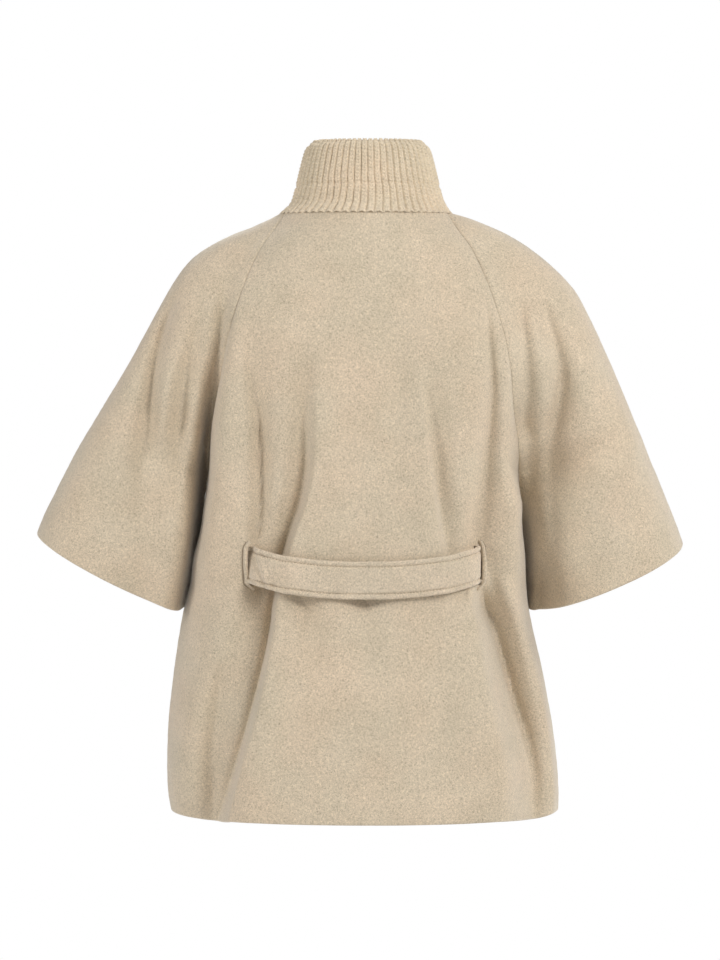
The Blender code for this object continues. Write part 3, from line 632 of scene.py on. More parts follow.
def sleeve_row(place, shares, side, face):
    """Places on a row of a sleeve, from share 0 at the raglan seam to 1 at the overarm."""
    start = seam_place(place, side, face)
    row = at_row(OVERARM, place)
    x, z = (row.left_x, row.left_z) if side > 0 else (row.right_x, row.right_z)
    end = np.array([side * x, row.y, z])
    turn = row.front_turn
    if face > 0:
        turn = row.turn - (right_armhole(start[2])[3] if side < 0 else 0)
    turn = math.radians(turn)
    outward = unit(np.array([end[0] - start[0], 0, end[2] - start[2]]))
    deep = np.array([0, 1.0 if face > 0 else -row.front, 0])
    leave = start + row.seam_reach * (math.cos(turn) * outward + math.sin(turn) * deep)
    arrive = end + row.over_reach * deep
    places = bezier(start, leave, arrive, end, shares[:, None])
    hang = ease((place - SAG_FROM) / (len(OVERARM) - 1 - SAG_FROM))
    places[:, 2] -= SLEEVE_SAG[side] * 4 * shares * (1 - shares) * hang
    crossing = seam_share(place)
    crossing = (crossing + (1 - crossing) * ease(shares * 14)) * ease((1 - shares) * 4)
    relief = crease_relief(face, places[:, 0], places[:, 2])
    if face > 0:
        relief = relief + crease_relief(2, places[:, 0], places[:, 2])
    places[:, 1] += relief * crossing * face
    return places


def share_at(place, x, side, face):
    """The share at which a body row reaches a given distance from the centre."""
    shares = np.linspace(0, 1, 200)
    return float(np.interp(x, np.abs(body_row(place, shares, side, face)[:, 0]), shares))


def front_row(place, shares, side):
    """Places on a front: below 0 the share runs past the centre front, over the lap."""
    across = np.array([share if share >= 0 else share_at(place, -share * WRAP, side, -1)
                       for share in shares])
    places = body_row(place, across, side, -1)
    ahead = body_row(place, np.minimum(across + 0.02, 1), side, -1)
    behind = body_row(place, np.maximum(across - 0.02, 0), side, -1)
    run = ahead - behind
    outward = unit(np.stack([run[:, 1] * side, -run[:, 0] * side, np.zeros(len(run))], axis=1))
    past = shares < 0
    places[past, 0] *= -1
    outward[past, 0] *= -1
    if side < 0:
        climb = ease((places[:, 0] + WRAP + WRAP_CLEAR + WRAP_RAMP) / WRAP_RAMP)
        places = places + outward * ((WALL + 3 * SEAM_GAP) * climb)[:, None]
    return places


def back_depth(x, z):
    """How deep the plain back lies at a place."""
    heights = -column_of(BODY, "z")
    place = float(np.interp(-z, heights, np.arange(len(BODY))))
    shares = np.linspace(0, 1, 240)
    row = body_row(place, shares, 1 if x >= 0 else -1, 1)
    return float(np.interp(abs(x), np.abs(row[:, 0]), row[:, 1]))


# ------------------------------------------------------------------ cloth shells

EDGE_STEPS = (0.0, 0.0006, 0.0014, 0.0026, 0.0045)   # extra grid lines beside an edge
NECK_ROW = 0.018          # length of the first row, at the neck
BODY_HEM_ROW = 0.022      # length of the body's last row, and of the sleeves'
SLEEVE_HEM_ROW = 0.028
HALF_WIDTH = 0.24         # about half the width of the back, from centre to seam


def row_places(rows, steps, hem_length):
    """Row places from the first row to the last, closer together at the hem."""
    last = len(rows) - 1
    places = np.arange(0, last * steps + 1) / steps
    near = np.array(EDGE_STEPS) / hem_length
    near_top = np.array(EDGE_STEPS) / NECK_ROW
    places = places[(places < last - near[-1] * 1.3) & (places > near_top[-1] * 1.3)]
    return np.concatenate([near_top, places, last - near[::-1]])


def grid_normals(grid):
    """Normals of a grid of places."""
    down = np.gradient(grid, axis=0)
    across = np.gradient(grid, axis=1)
    return unit(np.cross(across, down))


def edge_distance(grid, axis):
    """Distances along the grid from its first and its last line."""
    steps = np.linalg.norm(np.diff(grid, axis=axis), axis=2)
    first = np.cumsum(steps, axis=axis)
    zero = np.zeros_like(np.take(first, [0], axis=axis))
    first = np.concatenate([zero, first], axis=axis)
    total = np.take(first, [-1], axis=axis)
    return first, total - first


def spread(values, rows, columns, shape):
    """Values on some rows and columns, spread smoothly over the whole grid."""
    across = np.stack([np.interp(np.arange(shape[1]), columns, line) for line in values])
    return np.stack([np.interp(np.arange(shape[0]), rows, line) for line in across.T], axis=1)


def waviness(places, coarse, fine):
    """Slow unevenness of cloth: one value for each place."""
    rows = np.unique(np.append(np.arange(0, places.shape[0], 2), places.shape[0] - 1))
    columns = np.unique(np.append(np.arange(0, places.shape[1], 2), places.shape[1] - 1))
    values = np.empty((len(rows), len(columns)))
    for i, row in enumerate(rows):
        for j, column in enumerate(columns):
            where = Vector(places[row, column])
            values[i, j] = (coarse * noise.noise(where * 11.0)
                            + coarse * 0.45 * noise.noise(where * 27.0 + Vector((7, 3, 1)))
                            + fine * noise.noise(where * 70.0 + Vector((1, 9, 4))))
    return spread(values, rows, columns, places.shape[:2])


def new_piece(name, vertices, faces, material, sharp=50):
    """A mesh object at the origin, smooth shaded, with its material."""
    mesh = bpy.data.meshes.new(name)
    mesh.from_pydata([tuple(place) for place in vertices], [], faces)
    mesh.validate()
    mesh.shade_smooth()
    mesh.set_sharp_from_angle(angle=math.radians(sharp))
    mesh.materials.append(material)
    piece = bpy.data.objects.new(name, mesh)
    bpy.context.scene.collection.objects.link(piece)
    return piece


def recalculated(piece):
    """Turn a closed piece's faces outwards."""
    shape = bmesh.new()
    shape.from_mesh(piece.data)
    bmesh.ops.recalc_face_normals(shape, faces=shape.faces)
    shape.to_mesh(piece.data)
    shape.free()


def tube_faces(rings, corners, first=0):
    """Faces of a closed tube: its sides from ring to ring, then its two ends."""
    faces = []
    for ring in range(rings - 1):
        near = first + ring * corners
        far = near + corners
        for corner in range(corners):
            beside = (corner + 1) % corners
            faces.append((near + corner, near + beside, far + beside, far + corner))
    last = first + (rings - 1) * corners
    faces.append(tuple(range(first, first + corners))[::-1])
    faces.append(tuple(range(last, last + corners)))
    return faces


def wall_faces(rows, columns):
    """Faces of a closed wall on a grid: outer face, inner face and rim."""
    count = rows * columns
    faces = []
    for row in range(rows - 1):
        for column in range(columns - 1):
            corner = row * columns + column
            cell = (corner, corner + 1, corner + 1 + columns, corner + columns)
            faces.append(cell)
            faces.append(tuple(number + count for number in reversed(cell)))
    ends = (rows - 1) * columns
    for column in range(columns - 1):
        faces.append((column + 1, column, column + count, column + 1 + count))
        near = ends + column
        faces.append((near, near + 1, near + 1 + count, near + count))
    for row in range(rows - 1):
        upper = row * columns
        faces.append((upper, upper + columns, upper + columns + count, upper + count))
        upper += columns - 1
        faces.append((upper + columns, upper, upper + count, upper + columns + count))
    return faces


def seam_depth(places):
    """How much of a seam's dip shows: the right armhole's fades out below the shoulder."""
    faded = ease((-places[..., 2] - 0.105) / 0.05) * (places[..., 0] < -0.10)
    return 1 - 0.85 * faded * (places[..., 1] > 0)


Edges = namedtuple("Edges", "first last top bottom")


def cloth_shell(name, grid, edges, material, settings, outward):
    """A wall of cloth on a grid of places.  Each edge is a seam, which dips and closes on its
    neighbour, or a hem, which is turned to the inside and rounded, or a lap."""
    normals = grid_normals(grid)
    middle = (grid.shape[0] // 2, grid.shape[1] // 2)
    if np.dot(normals[middle], np.array(outward)) < 0:
        grid = grid[:, ::-1]
        normals = grid_normals(grid)
        edges = edges._replace(first=edges.last, last=edges.first)
    wall = settings.cloth
    across = edge_distance(grid, 1)
    down = edge_distance(grid, 0)
    distances = {"first": across[0], "last": across[1], "top": down[0], "bottom": down[1]}
    seam_far = np.full(grid.shape[:2], 1.0)
    outer_dip = np.zeros(grid.shape[:2])
    inner_dip = np.zeros(grid.shape[:2])
    thick = np.full(grid.shape[:2], wall)
    for edge, far in distances.items():
        kind = getattr(edges, edge)
        if kind == "seam":
            seam_far = np.minimum(seam_far, far)
            dip = settings.seam_dip * seam_depth(grid) * (0.3 if edge == "top" else 1)
            outer_dip += dip * np.exp(-(far / settings.seam_soft) ** 1.5)
        else:
            turned = settings.hem_turn if kind == "hem" else settings.lap_turn
            thick += (settings.hem_thick - wall) * (1 - ease((far - turned) / 0.002))
    for edge, far in distances.items():
        if getattr(edges, edge) != "seam":
            round_off = 1 - np.sqrt(np.clip(1 - (1 - np.clip(far / (thick / 2), 0, 1)) ** 2, 0, 1))
            outer_dip += round_off * thick * 0.46
            inner_dip += round_off * thick * 0.46
    uneven = waviness(grid, settings.wave, settings.dimple)
    uneven *= ease(seam_far / 0.012)
    pucker = np.sin(grid[..., 2] * 620 + 3 * np.sin(grid[..., 2] * 140 + grid[..., 0] * 60))
    uneven += settings.pucker * pucker * np.exp(-(seam_far / 0.006) ** 2) * ease(seam_far / 0.002)
    outer = grid + normals * (uneven - outer_dip)[..., None]
    for edge, column, beside in (("first", 0, 1), ("last", -1, -2)):
        if getattr(edges, edge) == "seam":
            inward = unit(grid[:, beside] - grid[:, column])
            outer[:, column] += inward * SEAM_GAP / 2
    inner = outer - normals * (thick - outer_dip - inner_dip)[..., None]
    rows, columns = grid.shape[:2]
    vertices = np.concatenate([outer.reshape(-1, 3), inner.reshape(-1, 3)])
    return new_piece(name, vertices, wall_faces(rows, columns), material)


# ------------------------------------------------------------------ materials

def linked(tree, kind, inputs=(), **settings):
    """A node with its settings, and its inputs set or linked."""
    node = tree.nodes.new(kind)
    for name, value in settings.items():
        setattr(node, name, value)
    for name, value in dict(inputs).items():
        if isinstance(value, bpy.types.NodeSocket):
            tree.links.new(value, node.inputs[name])
        else:
            node.inputs[name].default_value = value
    return node


def ramp(tree, factor, stops):
    """A colour ramp through (place, colour) stops."""
    node = linked(tree, "ShaderNodeValToRGB", {"Fac": factor})
    elements = node.color_ramp.elements
    elements[0].position, elements[0].color = stops[0][0], (*stops[0][1], 1)
    elements[1].position, elements[1].color = stops[-1][0], (*stops[-1][1], 1)
    for place, colour in stops[1:-1]:
        elements.new(place).color = (*colour, 1)
    return node.outputs["Color"]


def shaded(colour, factor):
    """A colour made lighter or darker."""
    return tuple(min(channel * factor, 1.0) for channel in colour)


def fibre_noise(tree, place, scale, detail, roughness):
    """Noise at a place, as fine as a scale says."""
    return linked(tree, "ShaderNodeTexNoise", {"Vector": place, "Scale": scale,
                                               "Detail": detail, "Roughness": roughness})


def wool_material(name, colour, speck, relief):
    """Felted melange wool: fibres of several tones, matted into a soft nap."""
    material = bpy.data.materials.new(name)
    material.use_nodes = True
    tree = material.node_tree
    surface = tree.nodes["Principled BSDF"]
    place = linked(tree, "ShaderNodeTexCoord").outputs["Object"]
    drift = fibre_noise(tree, place, 260.0, 2.0, 0.6)
    bent = linked(tree, "ShaderNodeVectorMath",
                  {0: drift.outputs["Color"], 1: (0.5, 0.5, 0.5)}, operation="SUBTRACT")
    bent = linked(tree, "ShaderNodeVectorMath",
                  {0: bent.outputs["Vector"], "Scale": 0.006}, operation="SCALE")
    bent = linked(tree, "ShaderNodeVectorMath",
                  {0: place, 1: bent.outputs["Vector"]}, operation="ADD")
    specks = fibre_noise(tree, bent.outputs["Vector"], 620.0, 5.0, 0.72)
    tufts = fibre_noise(tree, place, 260.0, 4.0, 0.62)
    cloud = fibre_noise(tree, place, 22.0, 3.0, 0.55)
    tones = ramp(tree, specks.outputs["Fac"], (
        (0.28, shaded(colour, 1 - speck * 1.9)),
        (0.42, shaded(colour, 1 - speck * 0.7)),
        (0.52, colour),
        (0.62, shaded(colour, 1 + speck * 0.6)),
        (0.76, shaded(colour, 1 + speck * 1.5)),
    ))
    tuft_tone = ramp(tree, tufts.outputs["Fac"],
                     ((0.30, (0.95, 0.945, 0.94)), (0.50, (1, 1, 1)), (0.70, (1.04, 1.04, 1.045))))
    cloud_tone = ramp(tree, cloud.outputs["Fac"],
                      ((0.30, (0.95, 0.95, 0.94)), (0.70, (1.05, 1.045, 1.05))))
    warmth = fibre_noise(tree, place, 13.0, 2.0, 0.5)
    warm_tone = ramp(tree, warmth.outputs["Fac"],
                     ((0.38, (0.990, 0.999, 1.002)), (0.68, (1.020, 0.993, 0.984))))
    for layer in (tuft_tone, cloud_tone, warm_tone):
        tones = linked(tree, "ShaderNodeMix", {"Factor": 1.0, 6: tones, 7: layer},
                       data_type="RGBA", blend_type="MULTIPLY").outputs[2]
    tree.links.new(tones, surface.inputs["Base Color"])
    lint = linked(tree, "ShaderNodeMix",
                  {"Factor": 0.25, 2: specks.outputs["Fac"], 3: tufts.outputs["Fac"]})
    bump = linked(tree, "ShaderNodeBump",
                  {"Height": lint.outputs[0], "Strength": relief, "Distance": 0.0012})
    tree.links.new(bump.outputs["Normal"], surface.inputs["Normal"])
    sheen = {"Roughness": 0.95, "Specular IOR Level": 0.15, "Sheen Weight": 0.75,
             "Sheen Roughness": 0.45, "Sheen Tint": (1.0, 0.95, 0.87, 1)}
    for setting, value in sheen.items():
        surface.inputs[setting].default_value = value
    return material


def backdrop_material(name, colour):
    """A white surround: the eye and reflections see plain white, and the coat's light is
    that of a pale floor."""
    material = bpy.data.materials.new(name)
    material.use_nodes = True
    tree = material.node_tree
    tree.nodes.clear()
    paths = linked(tree, "ShaderNodeLightPath")
    seen = linked(tree, "ShaderNodeMath",
                  {0: paths.outputs["Is Camera Ray"], 1: paths.outputs["Is Glossy Ray"]},
                  operation="MAXIMUM")
    seen = linked(tree, "ShaderNodeMath",
                  {0: seen.outputs[0], 1: paths.outputs["Is Transmission Ray"]},
                  operation="MAXIMUM")
    pale = linked(tree, "ShaderNodeBsdfDiffuse", {"Color": (*colour, 1)})
    white = linked(tree, "ShaderNodeEmission", {"Color": (1, 1, 1, 1), "Strength": 1.0})
    mixed = linked(tree, "ShaderNodeMixShader",
                   {0: seen.outputs[0], 1: pale.outputs[0], 2: white.outputs[0]})
    linked(tree, "ShaderNodeOutputMaterial", {"Surface": mixed.outputs[0]})
    return material


MATERIALS = {}


def finish_named(name):
    """One of the coat's shared finishes, made when it is first asked for."""
    settings = bpy.context.scene.coat_finish
    recipes = {
        "felted_wool": (tuple(settings.wool), settings.speck, settings.nap),
        "belt_wool": (tuple(settings.belt_wool), settings.speck, settings.nap),
        "rib_knit": (tuple(settings.knit), settings.speck * 0.8, settings.nap),
        # this finish is darker than the stitching's own colour: painted shade for the sunk lines beside
        # the slot lips
        "thread_and_painted_shade": (tuple(settings.thread_and_painted_shade), settings.speck * 0.5, settings.nap * 0.5),
    }
    if name not in MATERIALS:
        MATERIALS[name] = wool_material(name, *recipes[name])
    return MATERIALS[name]


def placed(piece, node):
    """Hang a piece on the root and hide the CAD part that it stands for."""
    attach(piece, "root")
    if node:
        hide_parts(node)
    return piece


# ------------------------------------------------------------------ settings

def length(name, description, default):
    """A setting in metres."""
    return FloatProperty(name=name, description=description, default=default, unit="LENGTH")


def tint(name, description, default):
    """A colour setting."""
    return FloatVectorProperty(name=name, description=description, subtype="COLOR",
                               default=default)


class CoatCloth(bpy.types.PropertyGroup):
    """Sizes of the cloth."""

    cloth: length("Cloth", "Thickness of the felted wool", 0.0024)
    hem_thick: length("Hem", "Thickness of a turned hem", 0.0046)
    hem_turn: length("Hem turning", "Height of the turned hem", 0.035)
    lap_turn: length("Front turning", "Width of the turned front edge", 0.020)
    seam_dip: length("Seam dip", "How deep a seam draws the cloth in", 0.0013)
    seam_soft: length("Seam width", "How wide a seam's dip is", 0.0022)
    pucker: length("Pucker", "Height of the waves beside a seam", 0.00025)
    wave: length("Waves", "Height of the cloth's slow unevenness", 0.0016)
    dimple: length("Dimples", "Height of its small unevenness", 0.00025)
    body_steps: IntProperty(name="Body steps", description="Grid lines between body rows",
                            default=8)
    arm_steps: IntProperty(name="Sleeve steps", description="Grid lines between sleeve rows",
                           default=9)


class CoatKnit(bpy.types.PropertyGroup):
    """Sizes of the rib knit."""

    ribs: IntProperty(name="Ribs", description="Ribs around the collar", default=62)
    rib_high: length("Rib height", "How far a rib stands out", 0.0040)
    stitch: length("Stitch", "Height of one stitch", 0.0040)
    stitch_high: length("Stitch relief", "Depth between stitches", 0.0017)


class CoatFinish(bpy.types.PropertyGroup):
    """Colours and nap."""

    wool: tint("Wool", "Colour of the panels", (0.640, 0.535, 0.395))
    belt_wool: tint("Belt", "Colour of the belt", (0.640, 0.535, 0.400))
    knit: tint("Knit", "Colour of the collar", (0.735, 0.618, 0.455))
    # darkened past the stitching's own colour, as painted shade for the sunk lines beside the slot
    # lips; the belt's stitches share it
    thread_and_painted_shade: tint("Thread", "Colour of the stitching", (0.34, 0.27, 0.19))
    speck: FloatProperty(name="Specks", description="Contrast of the melange", default=0.29)
    nap: FloatProperty(name="Nap", description="Strength of the nap's relief", default=0.55)


# ------------------------------------------------------------------ the panels

class COAT_OT_back(bpy.types.Operator):
    """Make the back panel, with its folds and the two belt slots"""

    bl_idname = "coat.back"
    bl_label = "Back"

    def execute(self, context):
        settings = context.scene.coat_cloth
        rows = []
        for place in row_places(BODY, settings.body_steps, BODY_HEM_ROW):
            halves = []
            for side in (-1, 1):
                halves.append(body_row(place, self.shares(place, side), side, 1))
            rows.append(np.concatenate([halves[0][:0:-1], halves[1]]))
        piece = cloth_shell("back_panel", np.array(rows), Edges("seam", "seam", "seam", "hem"),
                            finish_named("felted_wool"), settings, (0, 1, 0))
        self.open_slots(piece)
        placed(piece, "back")
        return {"FINISHED"}

    def shares(self, place, side):
        """Column shares of a row, drawn below the shoulders to the side's long fold."""
        z = at_row(BODY, place).z
        line = FOLD_LINES[0 if side > 0 else 1]
        steep = float(along(line, "steep", z))
        crest = abs(float(along(line, "x", z))) - steep
        knots = np.array([share_at(place, x, side, 1) for x in
                          (0.0, crest - 0.012, crest, crest + steep, crest + steep + 0.020)])
        marks = np.array([0.0, 22, 30, 46, 56, 96]) / 96
        even = np.linspace(0, 1, 97)
        drawn = np.interp(even, marks, np.append(knots, 1.0))
        middle = even + (drawn - even) * ease((-z - 0.10) / 0.08)
        near = np.array(EDGE_STEPS) / HALF_WIDTH
        return np.concatenate([middle[:-3] * (1 - near[-1] * 1.3) / middle[-4], 1 - near[::-1]])

    def open_slots(self, piece):
        """Cut the two slots for the belt."""
        for hand in (1, -1):
            shape = bmesh.new()
            bmesh.ops.create_cube(shape, size=1)
            depth = back_depth(hand * SLOT_X, SLOT_Z)
            middle = (LEFT_LIP_X if hand > 0 else RIGHT_LIP_X) - SLOT_IN
            for vertex in shape.verts:
                vertex.co = Vector((vertex.co.x * SLOT_WIDE + hand * middle,
                                    vertex.co.y * CUT_DEEP + depth,
                                    vertex.co.z * (SLOT_TALL - SLOT_SHORT) + SLOT_Z - SLOT_LOW))
            mesh = bpy.data.meshes.new("slot_cutter")
            shape.to_mesh(mesh)
            shape.free()
            cutter = bpy.data.objects.new("slot_cutter", mesh)
            bpy.context.scene.collection.objects.link(cutter)
            cut = piece.modifiers.new("slot", "BOOLEAN")
            cut.operation = "DIFFERENCE"
            cut.solver = "EXACT"
            cut.object = cutter
            bpy.context.view_layer.objects.active = piece
            bpy.ops.object.modifier_apply(modifier="slot")
            bpy.data.objects.remove(cutter, do_unlink=True)


class COAT_OT_fronts(bpy.types.Operator):
    """Make the two fronts, the right one lapped over the left"""

    bl_idname = "coat.fronts"
    bl_label = "Fronts"

    def execute(self, context):
        settings = context.scene.coat_cloth
        for side, node in ((1, "front_left"), (-1, "front_right")):
            near = np.array(EDGE_STEPS)
            lap = np.concatenate([-1 + near / WRAP, np.linspace(-1, 0, 10)[2:-1]])
            shares = np.concatenate([lap, np.linspace(0, 1, 56)[:-1], 1 - near[::-1] / HALF_WIDTH])
            shares = np.unique(np.round(shares, 6))
            rows = [front_row(place, shares, side)
                    for place in row_places(BODY, settings.body_steps, BODY_HEM_ROW)]
            piece = cloth_shell(node + "_panel", np.array(rows),
                                Edges("lap", "seam", "seam", "hem"),
                                finish_named("felted_wool"), settings, (0, -1, 0))
            placed(piece, node)
        return {"FINISHED"}


class COAT_OT_sleeves(bpy.types.Operator):
    """Make the four sleeve halves"""

    bl_idname = "coat.sleeves"
    bl_label = "Sleeves"

    def execute(self, context):
        settings = context.scene.coat_cloth
        for side, hand in ((1, "left"), (-1, "right")):
            for face, half in ((1, "back"), (-1, "front")):
                rows = []
                for place in row_places(OVERARM, settings.arm_steps, SLEEVE_HEM_ROW):
                    length = 0.03 + 0.25 * min(place / 9, 1)
                    near = np.array(EDGE_STEPS) / length
                    middle = np.linspace(0, 1, 60)[1:-1]
                    middle = near[-1] + (1 - 2 * near[-1]) * middle
                    shares = np.concatenate([near, middle, 1 - near[::-1]])
                    rows.append(sleeve_row(place, shares, side, face))
                node = "sleeve_" + half + "_" + hand
                piece = cloth_shell(node + "_panel", np.array(rows),
                                    Edges("seam", "seam", "seam", "hem"),
                                    finish_named("felted_wool"), settings, (0, face, 0))
                placed(piece, node)
        return {"FINISHED"}


# ------------------------------------------------------------------ the collar

CollarRow = namedtuple("CollarRow", "height scale")
COLLAR = (
    CollarRow(0.0000, 1.006),
    CollarRow(0.0040, 0.962),
    CollarRow(0.0100, 0.910),
    CollarRow(0.0180, 0.874),
    CollarRow(0.0340, 0.832),
    CollarRow(0.0540, 0.782),
    CollarRow(0.0680, 0.742),
    CollarRow(0.0740, 0.712),
    CollarRow(0.0775, 0.666),
)
KNIT = 0.0060
COLLAR_ROLL = 0.0020
KINK = 0.0300             # the height where the rib knit gives a little
COLLAR_LEAN = 0.0019      # how far the collar leans to the right
COLLAR_FOOT = 0.0034      # how far its foot hangs over the seam at the centre back
COLLAR_END_GAP = 0.0012


def neckline():
    """The neck edge of the panels as a fine line, from the left front round to the right."""
    halves = []
    for side in (1, -1):
        shares = np.linspace(0, 1, 60)
        parts = [body_row(0, shares[:-1], side, -1),
                 sleeve_row(0, np.linspace(0, 1, 12)[:-1], side, -1),
                 sleeve_row(0, np.linspace(1, 0, 12)[:-1], side, 1),
                 body_row(0, shares[:0:-1], side, 1)]
        halves.append(np.concatenate(parts))
    back = body_row(0, np.array([0.0]), 1, 1)
    return np.concatenate([halves[0], back, halves[1][::-1]])


def run_along(line):
    """How far along the line each of its places lies."""
    return np.concatenate([[0], np.cumsum(np.linalg.norm(np.diff(line, axis=0), axis=1))])


def evened(line, count):
    """The line as evenly spaced places."""
    run = run_along(line)
    at = np.linspace(0, run[-1], count)
    return np.stack([np.interp(at, run, line[:, axis]) for axis in range(3)], axis=1)


class COAT_OT_collar(bpy.types.Operator):
    """Make the folded rib-knit stand collar"""

    bl_idname = "coat.collar"
    bl_label = "Collar"

    def execute(self, context):
        knit = context.scene.coat_knit
        columns = knit.ribs * 10 + 1
        around = evened(neckline(), columns)
        back = ease(around[:, 1] / around[:, 1].max() + 0.5) ** 2
        run = np.gradient(around, axis=0)
        run[:, 2] = 0
        outward = unit(np.stack([run[:, 1], -run[:, 0], np.zeros(columns)], axis=1))
        phase = np.linspace(0, knit.ribs, columns)
        fine = filled(COLLAR, 24)
        heights = column_of(fine, "height")
        scales = column_of(fine, "scale")
        tall = heights[-1]
        outside = np.linspace(0, tall, 96)
        rows = []
        for height in outside:
            scale = float(np.interp(height, heights, scales))
            base = around * np.array([scale, scale, 1.0]) + np.array([0, 0, SEAM_GAP + height])
            foot = back * (1 - ease(height / 0.012))
            base[:, 2] -= foot * (COLLAR_FOOT + 0.0008 * np.cos(math.tau * phase))
            base += outward * (0.0026 * foot)[:, None]
            rows.append(base + outward * self.relief(knit, phase, height, tall)[:, None])
        scale = scales[-1]
        crown = around * np.array([scale, scale, 1.0]) + np.array([0, 0, SEAM_GAP + tall])
        middle = crown - outward * KNIT / 2
        for step in range(1, 12):
            turn = math.pi * step / 12
            over = self.relief(knit, phase, tall + 0.0008 * step, tall)[:, None]
            rows.append(middle + outward * (KNIT / 2 * math.cos(turn))
                        + np.array([0, 0, COLLAR_ROLL * math.sin(turn)])
                        + (outward * math.cos(turn) + np.array([0, 0, math.sin(turn)])) * over)
        for height in np.linspace(tall, 0, 48):
            scale = float(np.interp(height, heights, scales))
            base = around * np.array([scale, scale, 1.0]) + np.array([0, 0, SEAM_GAP + height])
            inner = self.relief(knit, phase + 0.5, height, tall)[:, None]
            rows.append(base - outward * (KNIT + inner * 0.6))
        grid = np.array(rows)
        lean = ease(around[:, 1] / around[:, 1].max() + 1)
        grid[:, :, 0] -= COLLAR_LEAN * lean * ease((grid[:, :, 2] + 0.002) / 0.012)
        grid[:, 0, 0] = np.maximum(grid[:, 0, 0], COLLAR_END_GAP / 2)
        grid[:, -1, 0] = np.minimum(grid[:, -1, 0], -COLLAR_END_GAP / 2)
        count = grid.shape[1]
        faces = []
        for row in range(len(rows)):
            below = (row + 1) % len(rows)
            for column in range(count - 1):
                faces.append((row * count + column, row * count + column + 1,
                              below * count + column + 1, below * count + column))
        faces.append(tuple(row * count for row in range(len(rows))))
        faces.append(tuple(row * count + count - 1 for row in range(len(rows)))[::-1])
        piece = new_piece("rib_collar", grid.reshape(-1, 3), faces, finish_named("rib_knit"), 180)
        recalculated(piece)
        placed(piece, "collar")
        return {"FINISHED"}

    def relief(self, knit, phase, height, tall):
        """How far the knit stands out from the collar's wall along one row."""
        sway = np.array([noise.noise(Vector((p * 0.35, height * 40, 5.0))) for p in phase])
        lean = 0.10 * ease((height - 0.026) / 0.012) - 0.06 * ease(height / 0.02)
        local = phase + 0.10 * sway + lean
        across = 2 * (local - np.floor(local)) - 1
        rib = np.clip(1 - np.abs(across) ** 2.2, 0, 1) ** 0.6
        band = math.exp(-((height - KINK) / 0.0022) ** 2)
        rows_up = height / knit.stitch - 0.62 * np.abs(across) + 0.25 * np.floor(local) % 1.0
        legs = np.abs(np.sin(math.pi * rows_up)) ** 0.6
        gutter = np.exp(-(across / 0.16) ** 2)
        relief = knit.rib_high * (rib - 0.75)
        relief += knit.stitch_high * (legs - 0.7) * rib
        relief -= knit.stitch_high * 0.7 * gutter * rib
        return relief * (0.75 + 0.25 * ease(height / 0.004)) - 0.0012 * band


# ------------------------------------------------------------------ the belt and its slots

BeltRow = namedtuple("BeltRow", "x out z")
BELT = (
    # half of the belt's middle line, from its inner end to the centre back: x, how far the
    # belt's inner face stands out from the cloth (negative inside the coat), and height
    BeltRow(0.1640, -0.0104, -0.3965),
    BeltRow(0.1510, -0.0108, -0.3965),
    BeltRow(0.1385, -0.0110, -0.3965),
    BeltRow(0.1303, -0.0042, -0.3968),
    BeltRow(0.1215, 0.0042, -0.3980),
    BeltRow(0.1080, 0.0096, -0.4010),
    BeltRow(0.0850, 0.0064, -0.4068),
    BeltRow(0.0600, 0.0050, -0.4105),
    BeltRow(0.0300, 0.0060, -0.4125),
    BeltRow(0.0000, 0.0065, -0.4130),
)
BELT_THICK = 0.0040
BELT_STITCH = 0.0150      # the stitch lines' distance from the belt's middle
STITCH_FROM = 0.018       # how far from the belt's ends they begin
STITCH_LONG = 0.0027
STITCH_STEP = 0.0036      # from the start of one stitch to the next
STITCH_RINGS = 5
THREAD_SIDES = 6
LIP_STEPS = 20            # rings from the middle of a lip to its end
LIP_SIDES = 14
BED_STEP = 0.004          # how far around a place the slope under the belt is taken
RIGHT_END_IN = 0.014      # how much deeper the hidden right end lies
LEFT_LIP_X = 0.1334       # the middles of the outer lips
RIGHT_LIP_X = 0.1300
# the dark line beside each outer lip is partly an edge stitch and partly painted shade at the lip's
# foot
STITCH_AND_SHADE_HALF = 0.0008      # half the width of the line sunk beside a lip
LIP_HIGH = 0.0044
LIP_BOW = 0.0010          # how far an outer lip's middle bows away from the slot
INNER_SHORT = -0.0025     # how far the lips run past the slot: the inner ones, and the
OUTER_ABOVE = 0.0035      # outer ones above and below it
OUTER_BELOW = 0.0062
HOOK_ABOVE = 0.0030       # how far a lip's ends hook towards the other lip
HOOK_BELOW = 0.0062
END_FROM = 0.0076         # how far inside the right lip the belt starts to dive
END_RUN = 0.0095          # and over what length
PINCHES = ((0.1205, 0.0034), (0.1090, 0.0018))   # where the belt is drawn in, and how deep
PINCH_LEAN = 0.35
PINCH_WIDE = 0.004


def belt_bed(x):
    """The depth that the belt is laid on, straight over the hollow beside each slot."""
    side = math.copysign(1, x)
    slot = back_depth(side * SLOT_X, SLOT_Z)
    rest = back_depth(side * BELT_REST, SLOT_Z)
    if BELT_REST < abs(x) < SLOT_X:
        return rest + (slot - rest) * (abs(x) - BELT_REST) / (SLOT_X - BELT_REST)
    return back_depth(x, SLOT_Z)


